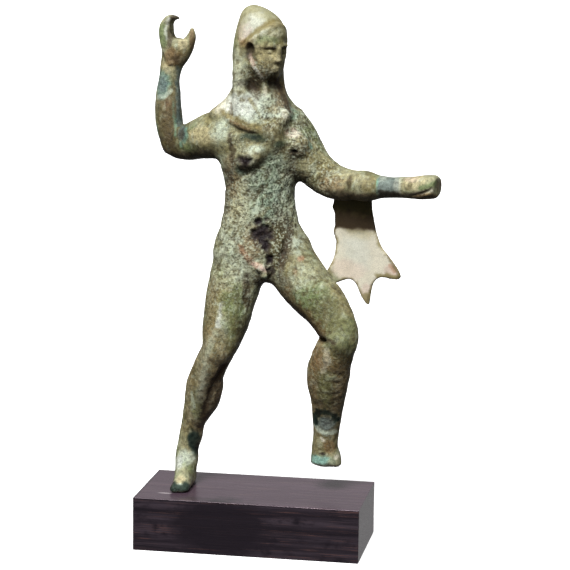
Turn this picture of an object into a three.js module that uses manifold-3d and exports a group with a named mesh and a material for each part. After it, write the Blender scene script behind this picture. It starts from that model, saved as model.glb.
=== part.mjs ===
// A votive bronze of a striding hero with a lion-skin, one casting, on its wooden block.
// Millimetres, +Z up, the viewer at -Y; the origin is the middle of the block's underside.
import * as THREE from 'three';
import { LoftGeometry } from 'three/addons/geometries/LoftGeometry.js';
import { mergeVertices } from 'three/addons/utils/BufferGeometryUtils.js';
import Module from 'manifold-3d';

const wasm = await Module();
wasm.setup();

// Driving dimensions
const figureHeight = 171; // right sole to crown
const plinthLength = 80;
const plinthDepth = 40;
const plinthHeight = 19;
const plinthChamfer = 0.6; // on the block's long and short edges
const footFromEnd = 14; // middle of the right sole from the block's left end
const footFromFront = 18; // and from its front face
const seatGap = 0.3; // between the sole and the block
const skinThickness = 1.4; // wall of the hanging lion-skin

// The figure is set out in hundredths of its height, from the middle of its right sole.
const hundredth = figureHeight / 100;

// A body form is a list of stations: [x, y, z, side, front, back, turn].
// x, y, z is the station's middle and side, front, back are its half sizes.
// turn is where its front looks, in degrees from -Y towards +X.
const torsoStations = [
  [16.3, 1.0, 44.2, 2.6, 2.2, 3.0, 17],
  [16.3, 1.0, 45.0, 5.0, 4.0, 4.8, 17],
  [16.1, 1.1, 46.6, 7.8, 4.9, 5.8, 17],
  [15.9, 1.2, 50.3, 9.5, 5.5, 6.4, 18],
  [15.6, 1.2, 53.2, 9.0, 5.2, 5.6, 19],
  [15.5, 1.2, 56.1, 8.0, 4.9, 4.6, 20],
  [15.5, 1.2, 59.3, 7.3, 4.7, 4.2, 21],
  [15.5, 1.2, 62.2, 7.2, 4.7, 4.2, 22],
  [15.6, 1.2, 65.1, 7.6, 5.0, 4.6, 24],
  [15.8, 1.2, 68.4, 8.9, 5.4, 5.2, 25],
  [16.4, 1.2, 71.6, 9.4, 5.6, 5.6, 26],
  [16.5, 1.2, 74.5, 9.1, 5.2, 5.6, 26],
  [15.8, 1.3, 77.0, 7.6, 4.4, 5.0, 26],
  [15.5, 1.4, 79.2, 5.4, 3.6, 4.2, 28],
  [15.6, 1.4, 80.6, 3.4, 2.6, 3.0, 28],
];

const neckStations = [
  [16.2, 0.4, 76.0, 3.4, 3.6, 3.0, 36],
  [16.2, 0.1, 79.5, 3.1, 3.1, 3.0, 38],
  [16.1, 0.0, 83.0, 2.9, 2.8, 3.0, 42],
  [16.0, 0.2, 87.0, 3.0, 2.6, 3.0, 46],
];

const hoodStations = [
  [14.9, 2.0, 76.8, 9.9, 3.2, 5.6, 28],
  [14.9, 2.0, 78.4, 9.8, 3.2, 5.6, 28],
  [15.0, 2.0, 79.7, 7.8, 2.8, 5.3, 30],
  [15.1, 1.9, 81.2, 6.3, 2.2, 5.2, 34],
  [15.2, 1.8, 83.0, 5.8, 1.6, 5.3, 38],
  [15.3, 1.6, 84.9, 5.6, 1.3, 5.6, 42],
  [15.4, 1.3, 87.4, 5.5, 1.1, 6.0, 46],
  [15.4, 1.1, 89.8, 5.4, 1.1, 6.3, 48],
  [15.5, 0.9, 92.2, 5.3, 1.6, 6.3, 48],
  [15.5, 0.8, 94.3, 5.1, 2.9, 6.0, 48],
  [15.4, 0.8, 95.8, 4.8, 4.4, 5.5, 48],
  [14.9, 0.8, 97.1, 4.3, 4.0, 4.9, 48],
  [14.4, 0.8, 98.4, 3.5, 2.6, 3.8, 48],
  [14.0, 0.9, 99.5, 1.9, 1.3, 2.1, 48],
  [13.9, 0.9, 100.0, 0.5, 0.4, 0.5, 48],
];

// The hood's front edges fall as lappets from the ears, past the neck, to the chest.
const rightLappetStations = [
  [11.9, -1.6, 93.0, 0.9, 0.9, 0.9, 20],
  [12.1, -2.0, 90.8, 1.5, 1.4, 1.4, 20],
  [12.1, -2.1, 87.8, 1.7, 1.6, 1.6, 20],
  [12.1, -2.2, 84.8, 1.8, 1.6, 1.6, 20],
  [12.4, -2.5, 82.0, 2.1, 1.6, 1.6, 20],
  [13.2, -3.0, 79.4, 2.6, 1.6, 1.6, 20],
  [14.4, -3.8, 77.4, 2.7, 1.4, 1.4, 20],
  [15.6, -4.4, 76.0, 1.6, 1.0, 1.0, 20],
];
const leftLappetStations = [
  [18.0, 4.0, 91.0, 0.9, 0.9, 0.9, 60],
  [18.0, 3.4, 88.4, 1.4, 1.4, 1.4, 60],
  [18.2, 2.6, 85.4, 1.6, 1.5, 1.5, 55],
  [18.8, 1.6, 82.4, 1.7, 1.5, 1.5, 50],
  [19.7, 0.2, 79.8, 1.8, 1.5, 1.5, 45],
  [20.3, -1.6, 77.8, 1.6, 1.3, 1.3, 40],
  [20.2, -2.6, 76.4, 0.9, 0.9, 0.9, 40],
];

const rightUpperArmStations = [
  [14.4, 0.2, 74.2, 3.0, 3.0, 3.6, -40],
  [11.4, -0.4, 74.5, 4.5, 3.8, 4.4, -40],
  [8.4, -0.2, 74.0, 5.1, 4.1, 4.0, -38],
  [5.0, 1.2, 73.3, 4.7, 3.8, 3.6, -34],
  [2.6, 2.9, 72.5, 4.2, 3.5, 3.3, -32],
  [0.2, 4.2, 71.7, 3.8, 3.2, 3.1, -30],
  [-2.1, 5.3, 71.3, 3.5, 2.9, 2.9, -28],
  [-3.9, 6.0, 71.0, 2.8, 2.5, 2.5, -26],
  [-5.2, 6.5, 70.7, 1.5, 1.4, 1.4, -26],
];

const rightForearmStations = [
  [-3.9, 6.2, 69.2, 1.4, 1.6, 1.6, 0],
  [-4.1, 6.3, 70.4, 2.0, 2.4, 2.4, 0],
  [-4.3, 6.4, 72.0, 2.45, 2.8, 2.8, 0],
  [-4.5, 6.4, 74.2, 2.65, 2.9, 2.9, 0],
  [-4.8, 6.4, 76.7, 2.8, 2.8, 2.8, 0],
  [-4.9, 6.2, 79.1, 2.7, 2.6, 2.6, 0],
  [-4.8, 6.1, 81.6, 2.5, 2.3, 2.3, 0],
  [-4.6, 5.9, 84.1, 2.15, 1.9, 1.9, 0],
  [-4.3, 5.9, 86.2, 2.2, 2.0, 2.0, 0],
  [-3.9, 5.9, 87.8, 2.4, 2.2, 2.2, 0],
  [-3.4, 5.9, 89.2, 2.9, 2.5, 2.4, 0],
  [-3.0, 5.9, 90.6, 3.25, 2.6, 2.5, 0],
  [-2.7, 5.9, 91.7, 3.35, 2.5, 2.4, 0],
  [-2.6, 5.9, 92.6, 3.0, 2.1, 2.0, 0],
];

// The fingers close to a hook and the thumb stands against them, round a shaft that is lost.
// Seen along the row of fingers: x, height and half thickness.
const fingerStations = [
  [-4.4, 90.4, 1.4],
  [-4.75, 92.4, 1.5],
  [-5.05, 93.9, 1.3],
  [-4.95, 95.1, 1.3],
  [-4.7, 96.0, 1.0],
  [-4.2, 96.7, 0.75],
  [-3.6, 96.95, 0.55],
  [-3.1, 96.8, 0.3],
];
const fingerCount = 4;
const fingerWidth = 1.25; // each, side by side
const fingerMiddle = 5.9; // middle of the row of fingers, back from the sole
const fingerStep = 0.12; // each finger's tip is this much lower than the one before it
const fingerLap = 0.06; // neighbours run into each other by this share of their width

const thumbStations = [
  [-1.5, 5.5, 90.2, 1.2, 1.4, 1.4, 0],
  [-0.6, 5.3, 91.6, 1.3, 1.4, 1.4, 0],
  [0.1, 5.1, 92.8, 1.1, 1.2, 1.2, 0],
  [0.35, 4.9, 93.8, 0.75, 1.0, 1.0, 0],
  [0.4, 4.8, 94.9, 0.3, 0.4, 0.4, 0],
];

const leftArmStations = [
  [18.6, 3.2, 76.2, 3.0, 3.6, 3.6, 20],
  [20.6, 4.4, 75.4, 3.6, 4.0, 4.0, 20],
  [22.1, 4.8, 73.5, 4.2, 4.1, 4.1, 20],
  [23.7, 4.5, 70.5, 4.3, 3.9, 3.9, 20],
  [26.4, 3.6, 67.2, 4.0, 3.7, 3.6, 20],
  [29.6, 2.4, 65.1, 3.6, 3.5, 3.4, 16],
  [32.5, 1.2, 64.2, 3.7, 3.3, 3.2, 10],
  [35.2, 0.1, 64.3, 3.4, 3.1, 3.0, 10],
  [37.8, -1.1, 64.4, 2.95, 2.8, 2.8, 10],
  [40.5, -2.3, 64.5, 2.35, 2.4, 2.4, 10],
  [43.1, -3.5, 64.7, 2.15, 2.1, 2.1, 10],
  [45.6, -4.7, 64.9, 2.15, 2.2, 2.2, 10],
  [47.6, -5.6, 65.0, 2.25, 2.4, 2.4, 10],
  [49.4, -6.4, 65.2, 2.4, 2.5, 2.5, 10],
  [51.2, -7.1, 65.5, 2.3, 2.4, 2.4, 10],
  [52.3, -7.6, 65.6, 2.0, 2.2, 2.2, 10],
  [52.9, -7.8, 65.6, 1.4, 1.6, 1.6, 10],
];

const rightLegStations = [
  [13.0, 0.8, 54.6, 3.4, 3.4, 4.0, 12],
  [12.2, 0.7, 50.8, 5.3, 4.9, 5.8, 12],
  [11.4, 0.4, 46.6, 5.5, 5.3, 6.4, 10],
  [10.4, -0.5, 42.1, 5.3, 5.3, 5.4, 8],
  [9.9, -1.0, 39.7, 5.1, 5.2, 5.2, 7],
  [9.5, -1.5, 37.2, 4.95, 5.0, 5.0, 6],
  [9.0, -2.0, 34.8, 4.6, 4.7, 4.7, 6],
  [8.5, -2.5, 32.4, 4.1, 4.3, 4.3, 5],
  [7.8, -2.8, 29.9, 3.4, 3.9, 3.9, 5],
  [6.5, -2.5, 27.3, 3.4, 3.6, 3.9, 5],
  [5.3, -1.7, 24.5, 3.5, 3.4, 4.3, 5],
  [4.6, -0.8, 21.8, 3.85, 3.4, 4.5, 5],
  [3.9, 0.1, 19.0, 3.7, 3.2, 4.1, 5],
  [2.8, 1.0, 16.2, 3.05, 2.9, 3.4, 5],
  [1.8, 1.8, 13.4, 2.45, 2.5, 2.8, 5],
  [1.2, 2.4, 10.7, 2.4, 2.4, 2.4, 4],
  [0.4, 2.8, 7.9, 2.2, 2.3, 2.3, 4],
  [0.1, 3.0, 5.2, 2.4, 2.6, 2.6, 4],
  [-0.1, 3.0, 2.8, 2.2, 2.8, 2.8, 4],
  [0.0, 3.0, 0.8, 2.0, 2.6, 2.6, 4],
];

const rightFootStations = [
  [-0.3, 7.2, 0.9, 0.9, 1.0, 1.0, 90],
  [-0.2, 6.4, 1.1, 2.0, 1.8, 1.8, 90],
  [-0.1, 4.6, 1.3, 3.0, 2.1, 2.1, 90],
  [0.0, 1.6, 1.3, 3.4, 2.1, 2.1, 90],
  [0.2, -1.0, 0.9, 2.7, 2.0, 2.0, 90],
  [0.4, -3.4, 0.5, 1.8, 2.0, 2.0, 90],
  [0.6, -5.4, 0.4, 1.3, 2.0, 2.0, 90],
  [0.8, -6.6, 0.4, 1.1, 1.7, 1.7, 90],
  [0.9, -7.2, 0.4, 0.6, 1.0, 1.0, 90],
];

// The left leg ends in a stub: its foot is broken off above the block.
const leftLegStations = [
  [19.2, 2.4, 54.2, 3.2, 3.4, 3.6, 50],
  [20.5, 2.4, 50.6, 4.9, 4.8, 5.0, 54],
  [23.0, 1.6, 46.2, 5.4, 5.4, 5.4, 60],
  [26.0, -0.3, 43.1, 5.0, 5.2, 5.3, 65],
  [27.9, -1.4, 41.4, 4.7, 5.05, 5.1, 68],
  [29.8, -2.3, 39.7, 4.4, 4.85, 4.8, 70],
  [31.9, -3.7, 37.0, 4.0, 4.45, 4.3, 70],
  [33.0, -4.4, 34.2, 3.8, 4.1, 4.0, 70],
  [32.2, -3.9, 31.3, 3.8, 4.05, 4.05, 70],
  [31.3, -3.0, 28.6, 3.8, 4.3, 4.35, 70],
  [30.7, -2.0, 25.8, 3.8, 4.55, 4.6, 70],
  [30.4, -1.2, 23.1, 3.6, 4.2, 4.3, 70],
  [30.3, -0.3, 20.4, 3.2, 3.65, 3.7, 70],
  [30.1, 0.6, 17.7, 2.8, 3.25, 3.3, 70],
  [29.9, 1.2, 15.0, 2.5, 2.95, 2.95, 70],
  [29.7, 1.7, 12.3, 2.3, 2.7, 2.7, 70],
  [29.5, 2.2, 9.6, 2.4, 2.85, 2.85, 70],
  [29.7, 2.4, 7.5, 2.7, 3.25, 3.25, 70],
  [29.8, 2.4, 6.3, 2.6, 3.2, 3.2, 70],
  [29.8, 2.4, 5.8, 2.3, 2.8, 2.8, 70],
];

// Rounded masses on the body: [x, y, z], [half sizes across, deep, high], turn and lean in degrees.
const masses = [
  { at: [14.9, -4.4, 70.6], half: [2.6, 2.2, 1.7], turn: 26, lean: -20 }, // right breast
  { at: [22.6, -0.9, 71.8], half: [2.2, 2.2, 2.3], turn: 40, lean: 0 }, // left breast
  { at: [11.9, 2.6, 47.8], half: [5.2, 4.9, 6.2], turn: 17, lean: 0, fine: true }, // right buttock
  { at: [18.9, 4.2, 48.6], half: [5.2, 4.7, 5.8], turn: 17, lean: 0, fine: true }, // left buttock
  { at: [17.4, -4.4, 46.6], half: [1.1, 1.5, 1.7], turn: 17, lean: 0 }, // worn groin
];

// The head looks to the figure's left: its middle, turn and nod.
const head = { at: [15.6, 0.5, 90.0], turn: 48, nod: 8 };
// Masses of a plain, even face, in the head's own frame: x to its left, y back, z up.
const faceMasses = [
  { at: [0, -0.6, 1.0], half: [4.3, 4.6, 6.0], fine: true }, // skull and cheeks
  { at: [0, -1.3, -1.8], half: [3.5, 3.5, 3.5], fine: true }, // jaw
  { at: [1.6, -4.3, 2.7], half: [1.5, 0.7, 0.4], turn: 20 }, // left brow
  { at: [-1.6, -4.3, 2.7], half: [1.5, 0.7, 0.4], turn: -20 }, // right brow
  { at: [0, -5.1, 1.3], half: [0.55, 0.8, 1.7] }, // bridge of the nose
  { at: [0, -5.3, 0.1], half: [0.8, 0.8, 0.6] }, // tip of the nose
  { at: [1.6, -4.4, 1.6], half: [0.85, 0.6, 0.45], turn: 20 }, // left eye
  { at: [-1.6, -4.4, 1.6], half: [0.85, 0.6, 0.45], turn: -20 }, // right eye
  { at: [0, -4.75, -1.6], half: [1.2, 0.55, 0.35] }, // upper lip
  { at: [0, -4.7, -2.2], half: [1.0, 0.55, 0.35] }, // lower lip
  { at: [0, -4.2, -3.9], half: [1.3, 0.9, 0.9] }, // chin
];
// The hood's rolled brim, from one ear over the brow to the other, in the head's frame.
const brimPath = [
  [-4.2, 0.2, -4.4],
  [-4.4, -0.4, -2.0],
  [-4.4, -1.2, 0.8],
  [-3.9, -2.3, 3.4],
  [-2.5, -3.4, 5.8],
  [0, -3.9, 6.9],
  [2.5, -3.4, 5.8],
  [3.9, -2.3, 3.4],
  [4.4, -1.2, 0.8],
  [4.4, -0.4, -2.0],
  [4.2, 0.2, -4.4],
];
const brimHalf = 0.8;

// The mantle's rolled edge, from behind the right shoulder over the chest to the knotted paw at the left.
const mantleEdgeStations = [
  [6.4, 3.6, 77.0, 0.6, 0.6, 0.6, 0],
  [6.7, 0.6, 77.9, 0.9, 0.9, 0.9, 0],
  [8.2, -2.0, 78.3, 1.0, 1.0, 1.0, 0],
  [10.3, -3.6, 77.4, 1.1, 1.1, 1.1, 0],
  [12.4, -4.4, 76.6, 1.2, 1.2, 1.2, 0],
  [14.5, -4.9, 76.0, 1.3, 1.3, 1.3, 0],
  [16.4, -4.9, 75.6, 1.4, 1.3, 1.3, 0],
  [18.2, -4.4, 76.0, 1.4, 1.3, 1.3, 0],
  [19.8, -3.4, 76.9, 1.3, 1.3, 1.3, 0],
  [20.8, -1.9, 77.8, 1.5, 1.4, 1.4, 0],
  [21.0, 0.2, 77.9, 1.1, 1.1, 1.1, 0],
  [20.6, 2.4, 77.9, 0.7, 0.7, 0.7, 0],
];

// The mantle lies over the shoulders: the chest's own form, thicker, cut off in front above that edge.
const mantleProud = 0.7; // in front and behind
const mantleAside = 0.4; // over the shoulders
const mantleStations = [
  [15.9, 1.3, 67.4, 7.4, 4.0, 4.6, 25],
  [16.0, 1.3, 68.6, 8.1, 5.2, 5.2, 25],
  [16.4, 1.2, 71.6, 8.8, 5.6, 5.7, 26],
  [16.4, 1.2, 74.5, 8.8, 5.3, 5.7, 26],
  [15.8, 1.3, 77.0, 7.7, 4.6, 5.2, 26],
  [15.5, 1.4, 79.2, 6.1, 3.9, 4.6, 28],
  [15.5, 1.4, 81.4, 4.9, 2.9, 4.2, 30],
];
// What is cut away below the V, seen square on the chest: across from its middle, and height.
const mantleHem = [
  [-14, 60],
  [-14, 80],
  [-7.0, 77.8],
  [-3.0, 76.2],
  [0.0, 75.4],
  [2.0, 76.2],
  [4.4, 77.8],
  [5.6, 84],
  [14, 84],
  [14, 60],
];
const chest = { at: [16.4, 1.2], turn: 26 };
const hemReach = 12; // from the middle of the chest to well in front of it

// The skin hanging from the left forearm, seen from the front: x and height of its outline.
const skinTop = 64.6;
const skinLeft = 30.3;
const skinRight = 38.5;
// It stands aslant: this far back at its reference point, and the change for x and for height.
const skinPlane = { x: 37, z: 62, y: 2.1, perX: -0.2, perZ: -0.12 };

function facing(turn) {
  const angle = THREE.MathUtils.degToRad(turn);
  return new THREE.Vector3(Math.sin(angle), -Math.cos(angle), 0);
}

// A closed mesh as a solid, in millimetres.
function solid(geometry) {
  const bare = new THREE.BufferGeometry()
    .setAttribute('position', geometry.getAttribute('position'))
    .setIndex(geometry.index);
  const merged = mergeVertices(bare.scale(hundredth, hundredth, hundredth), 1e-4);
  const corners = merged.index.array;
  const kept = [];
  for (let i = 0; i < corners.length; i += 3) {
    const [a, b, c] = corners.slice(i, i + 3);
    if (a !== b && b !== c && c !== a) kept.push(a, b, c);
  }
  const mesh = new wasm.Mesh({
    numProp: 3,
    vertProperties: merged.attributes.position.array,
    triVerts: new Uint32Array(kept),
  });
  return new wasm.Manifold(mesh);
}

// A body form lofted through its stations: oval sections square to the line of their middles.
function loft(stations, around, steps) {
  const curveOf = (first) =>
    new THREE.CatmullRomCurve3(
      stations.map((s) => new THREE.Vector3(...s.slice(first, first + 3))),
      false,
      'catmullrom',
    );
  const middles = curveOf(0);
  const halves = curveOf(3);
  const sections = [];
  for (let i = 0; i <= steps; i++) {
    const t = i / steps;
    const along = middles.getTangent(t);
    const place = t * (stations.length - 1);
    const row = Math.min(Math.floor(place), stations.length - 2);
    const turn = THREE.MathUtils.lerp(stations[row][6], stations[row + 1][6], place - row);
    const front = facing(turn).projectOnPlane(along).normalize();
    const side = new THREE.Vector3().crossVectors(front, along);
    const half = halves.getPoint(t);
    const ring = [];
    for (let j = 0; j < around; j++) {
      const angle = (2 * Math.PI * j) / around;
      const depth = Math.sin(angle) > 0 ? half.y : half.z;
      ring.push(
        middles
          .getPoint(t)
          .addScaledVector(side, half.x * Math.cos(angle))
          .addScaledVector(front, depth * Math.sin(angle)),
      );
    }
    sections.push(ring);
  }
  return new LoftGeometry(sections, { capStart: true, capEnd: true });
}

function ellipsoid({ at, half, turn = 0, lean = 0, fine = false }) {
  const [around, rings] = fine ? [16, 12] : [10, 6];
  return new THREE.SphereGeometry(1, around, rings)
    .rotateX(Math.PI / 2)
    .scale(...half)
    .rotateY(THREE.MathUtils.degToRad(lean))
    .rotateZ(THREE.MathUtils.degToRad(turn))
    .translate(...at);
}

// From the head's own frame to the figure's.
function inHead(geometry) {
  return geometry
    .rotateX(THREE.MathUtils.degToRad(head.nod))
    .rotateZ(THREE.MathUtils.degToRad(head.turn))
    .translate(...head.at);
}

function faceSolids() {
  return faceMasses.map((mass) => solid(inHead(ellipsoid(mass))));
}

function brimSolid() {
  const stations = brimPath.map(([x, y, z], i) => {
    const half = brimHalf * (0.5 + 0.5 * Math.sin((Math.PI * i) / (brimPath.length - 1)));
    return [x, y, z, half, half, half, 0];
  });
  return solid(inHead(loft(stations, 6, 20)));
}

function mantleSolid() {
  const thicker = mantleStations.map(([x, y, z, side, front, back, turn]) => [
    x,
    y,
    z,
    side + mantleAside,
    front + mantleProud,
    back + mantleProud,
    turn,
  ]);
  const form = solid(loft(thicker, 18, 6));
  const hem = new THREE.Shape(mantleHem.map(([across, up]) => new THREE.Vector2(across, up)));
  const cutter = new THREE.ExtrudeGeometry(hem, { depth: hemReach, bevelEnabled: false })
    .rotateX(Math.PI / 2)
    .rotateZ(THREE.MathUtils.degToRad(chest.turn))
    .translate(...chest.at, 0);
  return form.subtract(solid(cutter));
}

function rightHandSolids() {
  const made = [solid(loft(thumbStations, 8, 8))];
  const widest = (0.5 + fingerLap) * fingerWidth;
  for (let i = 0; i < fingerCount; i++) {
    const back = fingerMiddle + (i - (fingerCount - 1) / 2) * fingerWidth;
    const stations = fingerStations.map(([x, z, thick]) => {
      const across = Math.min(widest, thick);
      return [x, back, z - fingerStep * i, thick, across, across, 0];
    });
    made.push(solid(loft(stations, 6, 10)));
  }
  return made;
}

function skinSolid() {
  const outline = new THREE.Shape();
  outline.moveTo(skinRight, skinTop);
  outline.lineTo(skinLeft, skinTop);
  outline.lineTo(skinLeft, 60.4);
  outline.lineTo(29.9, 59.4);
  outline.lineTo(30.5, 58.0);
  outline.lineTo(30.5, 55.4);
  outline.lineTo(30.2, 54.3);
  outline.lineTo(30.8, 52.2);
  outline.splineThru([
    new THREE.Vector2(30.5, 49.6),
    new THREE.Vector2(29.6, 47.2),
    new THREE.Vector2(27.8, 44.6),
    new THREE.Vector2(26.7, 42.6),
  ]);
  outline.splineThru([
    new THREE.Vector2(28.4, 42.2),
    new THREE.Vector2(30.5, 43.2),
    new THREE.Vector2(32.2, 44.0),
    new THREE.Vector2(33.9, 44.4),
    new THREE.Vector2(35.1, 43.4),
    new THREE.Vector2(36.1, 41.0),
    new THREE.Vector2(37.1, 39.4),
  ]);
  outline.splineThru([
    new THREE.Vector2(37.9, 39.4),
    new THREE.Vector2(38.3, 42.0),
    new THREE.Vector2(38.9, 44.1),
    new THREE.Vector2(40.2, 45.2),
    new THREE.Vector2(42.2, 45.1),
    new THREE.Vector2(43.9, 45.1),
  ]);
  outline.splineThru([
    new THREE.Vector2(44.5, 45.7),
    new THREE.Vector2(43.7, 47.5),
    new THREE.Vector2(42.0, 49.8),
    new THREE.Vector2(40.5, 51.6),
    new THREE.Vector2(39.5, 54.0),
    new THREE.Vector2(38.9, 56.8),
    new THREE.Vector2(38.4, 60.2),
    new THREE.Vector2(skinRight, skinTop),
  ]);
  const thick = skinThickness / hundredth;
  const sheet = new THREE.ExtrudeGeometry(outline, { depth: thick, bevelEnabled: false, curveSegments: 2 })
    .rotateX(Math.PI / 2)
    .translate(0, thick / 2, 0);
  const places = sheet.attributes.position;
  for (let i = 0; i < places.count; i++) {
    const aside = (places.getX(i) - skinPlane.x) * skinPlane.perX;
    const below = (places.getZ(i) - skinPlane.z) * skinPlane.perZ;
    places.setY(i, places.getY(i) + skinPlane.y + aside + below);
  }
  return solid(sheet);
}

// The hair-thin pockets that overlapping forms shut in are filled: a casting has none.
function pocketsFilled(joined) {
  const shells = joined.decompose().filter((shell) => shell.volume() > 0);
  return shells.reduce((all, shell) => all.add(shell));
}

// All that the figure is made of, its sole cut flat. A loft's two numbers are its sides and its steps.
function figureSolid() {
  const pieces = [
    solid(loft(torsoStations, 20, 20)),
    solid(loft(neckStations, 12, 4)),
    solid(loft(hoodStations, 18, 21)),
    solid(loft(rightLappetStations, 8, 9)),
    solid(loft(leftLappetStations, 8, 8)),
    solid(loft(mantleEdgeStations, 8, 16)),
    solid(loft(rightUpperArmStations, 14, 10)),
    solid(loft(rightForearmStations, 12, 18)),
    solid(loft(leftArmStations, 14, 22)),
    solid(loft(rightLegStations, 16, 24)),
    solid(loft(leftLegStations, 16, 24)),
    solid(loft(rightFootStations, 12, 12)),
    mantleSolid(),
    brimSolid(),
    skinSolid(),
    ...masses.map((mass) => solid(ellipsoid(mass))),
    ...faceSolids(),
    ...rightHandSolids(),
  ];
  const below = new THREE.BoxGeometry(40, 40, 10).translate(0, 0, -5); // wider and deeper than the foot
  const joined = pieces.reduce((all, piece) => all.add(piece)).subtract(solid(below));
  return pocketsFilled(joined);
}

function geometryOf(made) {
  const { numProp, numVert, vertProperties, triVerts } = made.getMesh();
  const places = new Float32Array(numVert * 3);
  for (let i = 0; i < numVert; i++) {
    places.set(vertProperties.subarray(i * numProp, i * numProp + 3), i * 3);
  }
  return new THREE.BufferGeometry()
    .setAttribute('position', new THREE.BufferAttribute(places, 3))
    .setIndex(new THREE.BufferAttribute(triVerts, 1));
}

function makeFigure() {
  const bronze = new THREE.MeshStandardMaterial({ color: 0x7f8468, roughness: 0.62, metalness: 0.5 });
  const figure = new THREE.Mesh(geometryOf(figureSolid()), bronze);
  figure.name = 'figure';
  figure.position.set(
    footFromEnd - plinthLength / 2,
    footFromFront - plinthDepth / 2,
    plinthHeight + seatGap,
  );
  return figure;
}

function makePlinth() {
  const wood = new THREE.MeshStandardMaterial({ color: 0x33262b, roughness: 0.45, metalness: 0 });
  const inner = new THREE.Shape();
  const x = plinthLength / 2 - plinthChamfer;
  const y = plinthDepth / 2 - plinthChamfer;
  inner.moveTo(-x, -y);
  inner.lineTo(x, -y);
  inner.lineTo(x, y);
  inner.lineTo(-x, y);
  const block = new THREE.ExtrudeGeometry(inner, {
    depth: plinthHeight - 2 * plinthChamfer,
    bevelThickness: plinthChamfer,
    bevelSize: plinthChamfer,
    bevelSegments: 1,
  }).translate(0, 0, plinthChamfer);
  const plinth = new THREE.Mesh(block, wood);
  plinth.name = 'plinth';
  return plinth;
}

const part = new THREE.Group();
part.add(makeFigure(), makePlinth());

export default part;
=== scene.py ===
import math

import bmesh
import bpy
import numpy as np
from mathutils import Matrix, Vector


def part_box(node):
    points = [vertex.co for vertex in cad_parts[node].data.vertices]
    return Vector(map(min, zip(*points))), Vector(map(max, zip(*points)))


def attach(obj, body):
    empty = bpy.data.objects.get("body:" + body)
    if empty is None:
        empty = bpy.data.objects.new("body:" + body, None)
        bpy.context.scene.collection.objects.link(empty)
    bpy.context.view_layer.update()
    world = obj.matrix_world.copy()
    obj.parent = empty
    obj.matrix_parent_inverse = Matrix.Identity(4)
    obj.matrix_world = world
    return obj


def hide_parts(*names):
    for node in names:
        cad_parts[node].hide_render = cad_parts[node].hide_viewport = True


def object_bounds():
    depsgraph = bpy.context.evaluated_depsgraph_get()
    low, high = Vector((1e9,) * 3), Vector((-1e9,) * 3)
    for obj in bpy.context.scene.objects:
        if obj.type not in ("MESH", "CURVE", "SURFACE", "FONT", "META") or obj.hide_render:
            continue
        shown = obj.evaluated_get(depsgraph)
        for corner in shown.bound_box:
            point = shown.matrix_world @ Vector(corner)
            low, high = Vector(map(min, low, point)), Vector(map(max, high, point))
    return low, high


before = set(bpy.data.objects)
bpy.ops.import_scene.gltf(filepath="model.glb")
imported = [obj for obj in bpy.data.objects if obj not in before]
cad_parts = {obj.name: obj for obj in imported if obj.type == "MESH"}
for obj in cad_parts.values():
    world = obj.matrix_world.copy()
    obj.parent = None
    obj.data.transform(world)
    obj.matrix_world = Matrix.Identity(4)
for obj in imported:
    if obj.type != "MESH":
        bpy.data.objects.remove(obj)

import openvdb as vdb
from mathutils import Matrix, Vector

cadBox = [list(corner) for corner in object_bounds()]  # the solids' own box, before anything is added

# Objects, materials and their nodes


def addObject(name, data):
    thing = bpy.data.objects.new(name, data)
    bpy.context.scene.collection.objects.link(thing)
    return thing


def feed(tree, node, inputs):
    # An input goes by its name or number. A plain value is set on it, another node's output is linked to it.
    for name, value in inputs.items():
        if isinstance(value, bpy.types.NodeSocket):
            tree.links.new(value, node.inputs[name])
        else:
            node.inputs[name].default_value = value


def newNode(tree, kind, inputs=None, **settings):
    node = tree.nodes.new("ShaderNode" + kind)
    for name, value in settings.items():
        setattr(node, name, value)
    feed(tree, node, inputs or {})
    return node


def newMaterial(name, inputs):
    material = bpy.data.materials.new(name)
    material.use_nodes = True
    shader = material.node_tree.nodes["Principled BSDF"]
    feed(material.node_tree, shader, inputs)
    return material, material.node_tree, shader


def worked(tree, operation, *numbers):
    # One step of arithmetic.
    return newNode(tree, "Math", dict(enumerate(numbers)), operation=operation).outputs["Value"]


def stretched(tree, source, low, high, least=0.0, most=1.0):
    # The source's values from low to high become least to most, and those outside are held at the ends.
    inputs = {"Value": source, "From Min": low, "From Max": high, "To Min": least, "To Max": most}
    return newNode(tree, "MapRange", inputs).outputs["Result"]


def mixed(tree, factor, under, over):
    inputs = {"Factor": factor, "A": under, "B": over}
    return newNode(tree, "Mix", inputs, data_type="RGBA").outputs["Result"]


# Camera, light and floor

cameraView = {
    "place": (0.13952, -0.74489, 0.22271),
    "yaw": 9.886,  # degrees to the left of straight on
    "pitch": 9.715,  # degrees down
    "roll": 0.710,
    "lens": 138.6,
    "sensor": 36.0,
    "reach": 40.0,  # how far it sees, past the floor's far edge
}

studio = {
    "skyAbove": 0.42,  # brightness of the white tent above the floor's level
    "skyBelow": 0.10,  # and below it, where a dark table would be
    "horizon": (-0.08, 0.04),  # the heights of the direction between which one turns into the other
    "skyAside": 0.5,  # share by which it brightens towards +X
    "skyBehind": 0.35,  # and towards +Y
    "skySides": 0.1,  # what is left of it straight to either side, where dark cards stand
    "cards": (0.2, 0.9),  # how far aside the cards begin, and where they are full
    "sweep": 0.5,  # brightness of the white paper low behind the object, as it shows in the wood
    "sweepLow": (0.02, -0.06),  # the heights at which that paper begins, and where it is full
    "sweepFar": (0.75, 0.95),  # the same for how far behind
    "sunPower": 4.2,
    "sunFrom": (-0.12, -0.90, 1.12),
    "sunWidth": 24.0,  # degrees across, for soft shadows
    "boxPower": 0.7,
    "boxFrom": (0.02, -0.50, 0.60),
    "boxSize": 0.36,
    "floorShade": 0.93,
    "floorRough": 0.9,
    "floorShine": 0.1,
    "floorGlow": 0.75,  # the paper is lit from below too, which thins the shadows on it
    "floorHalf": 9.0,
}


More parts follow.
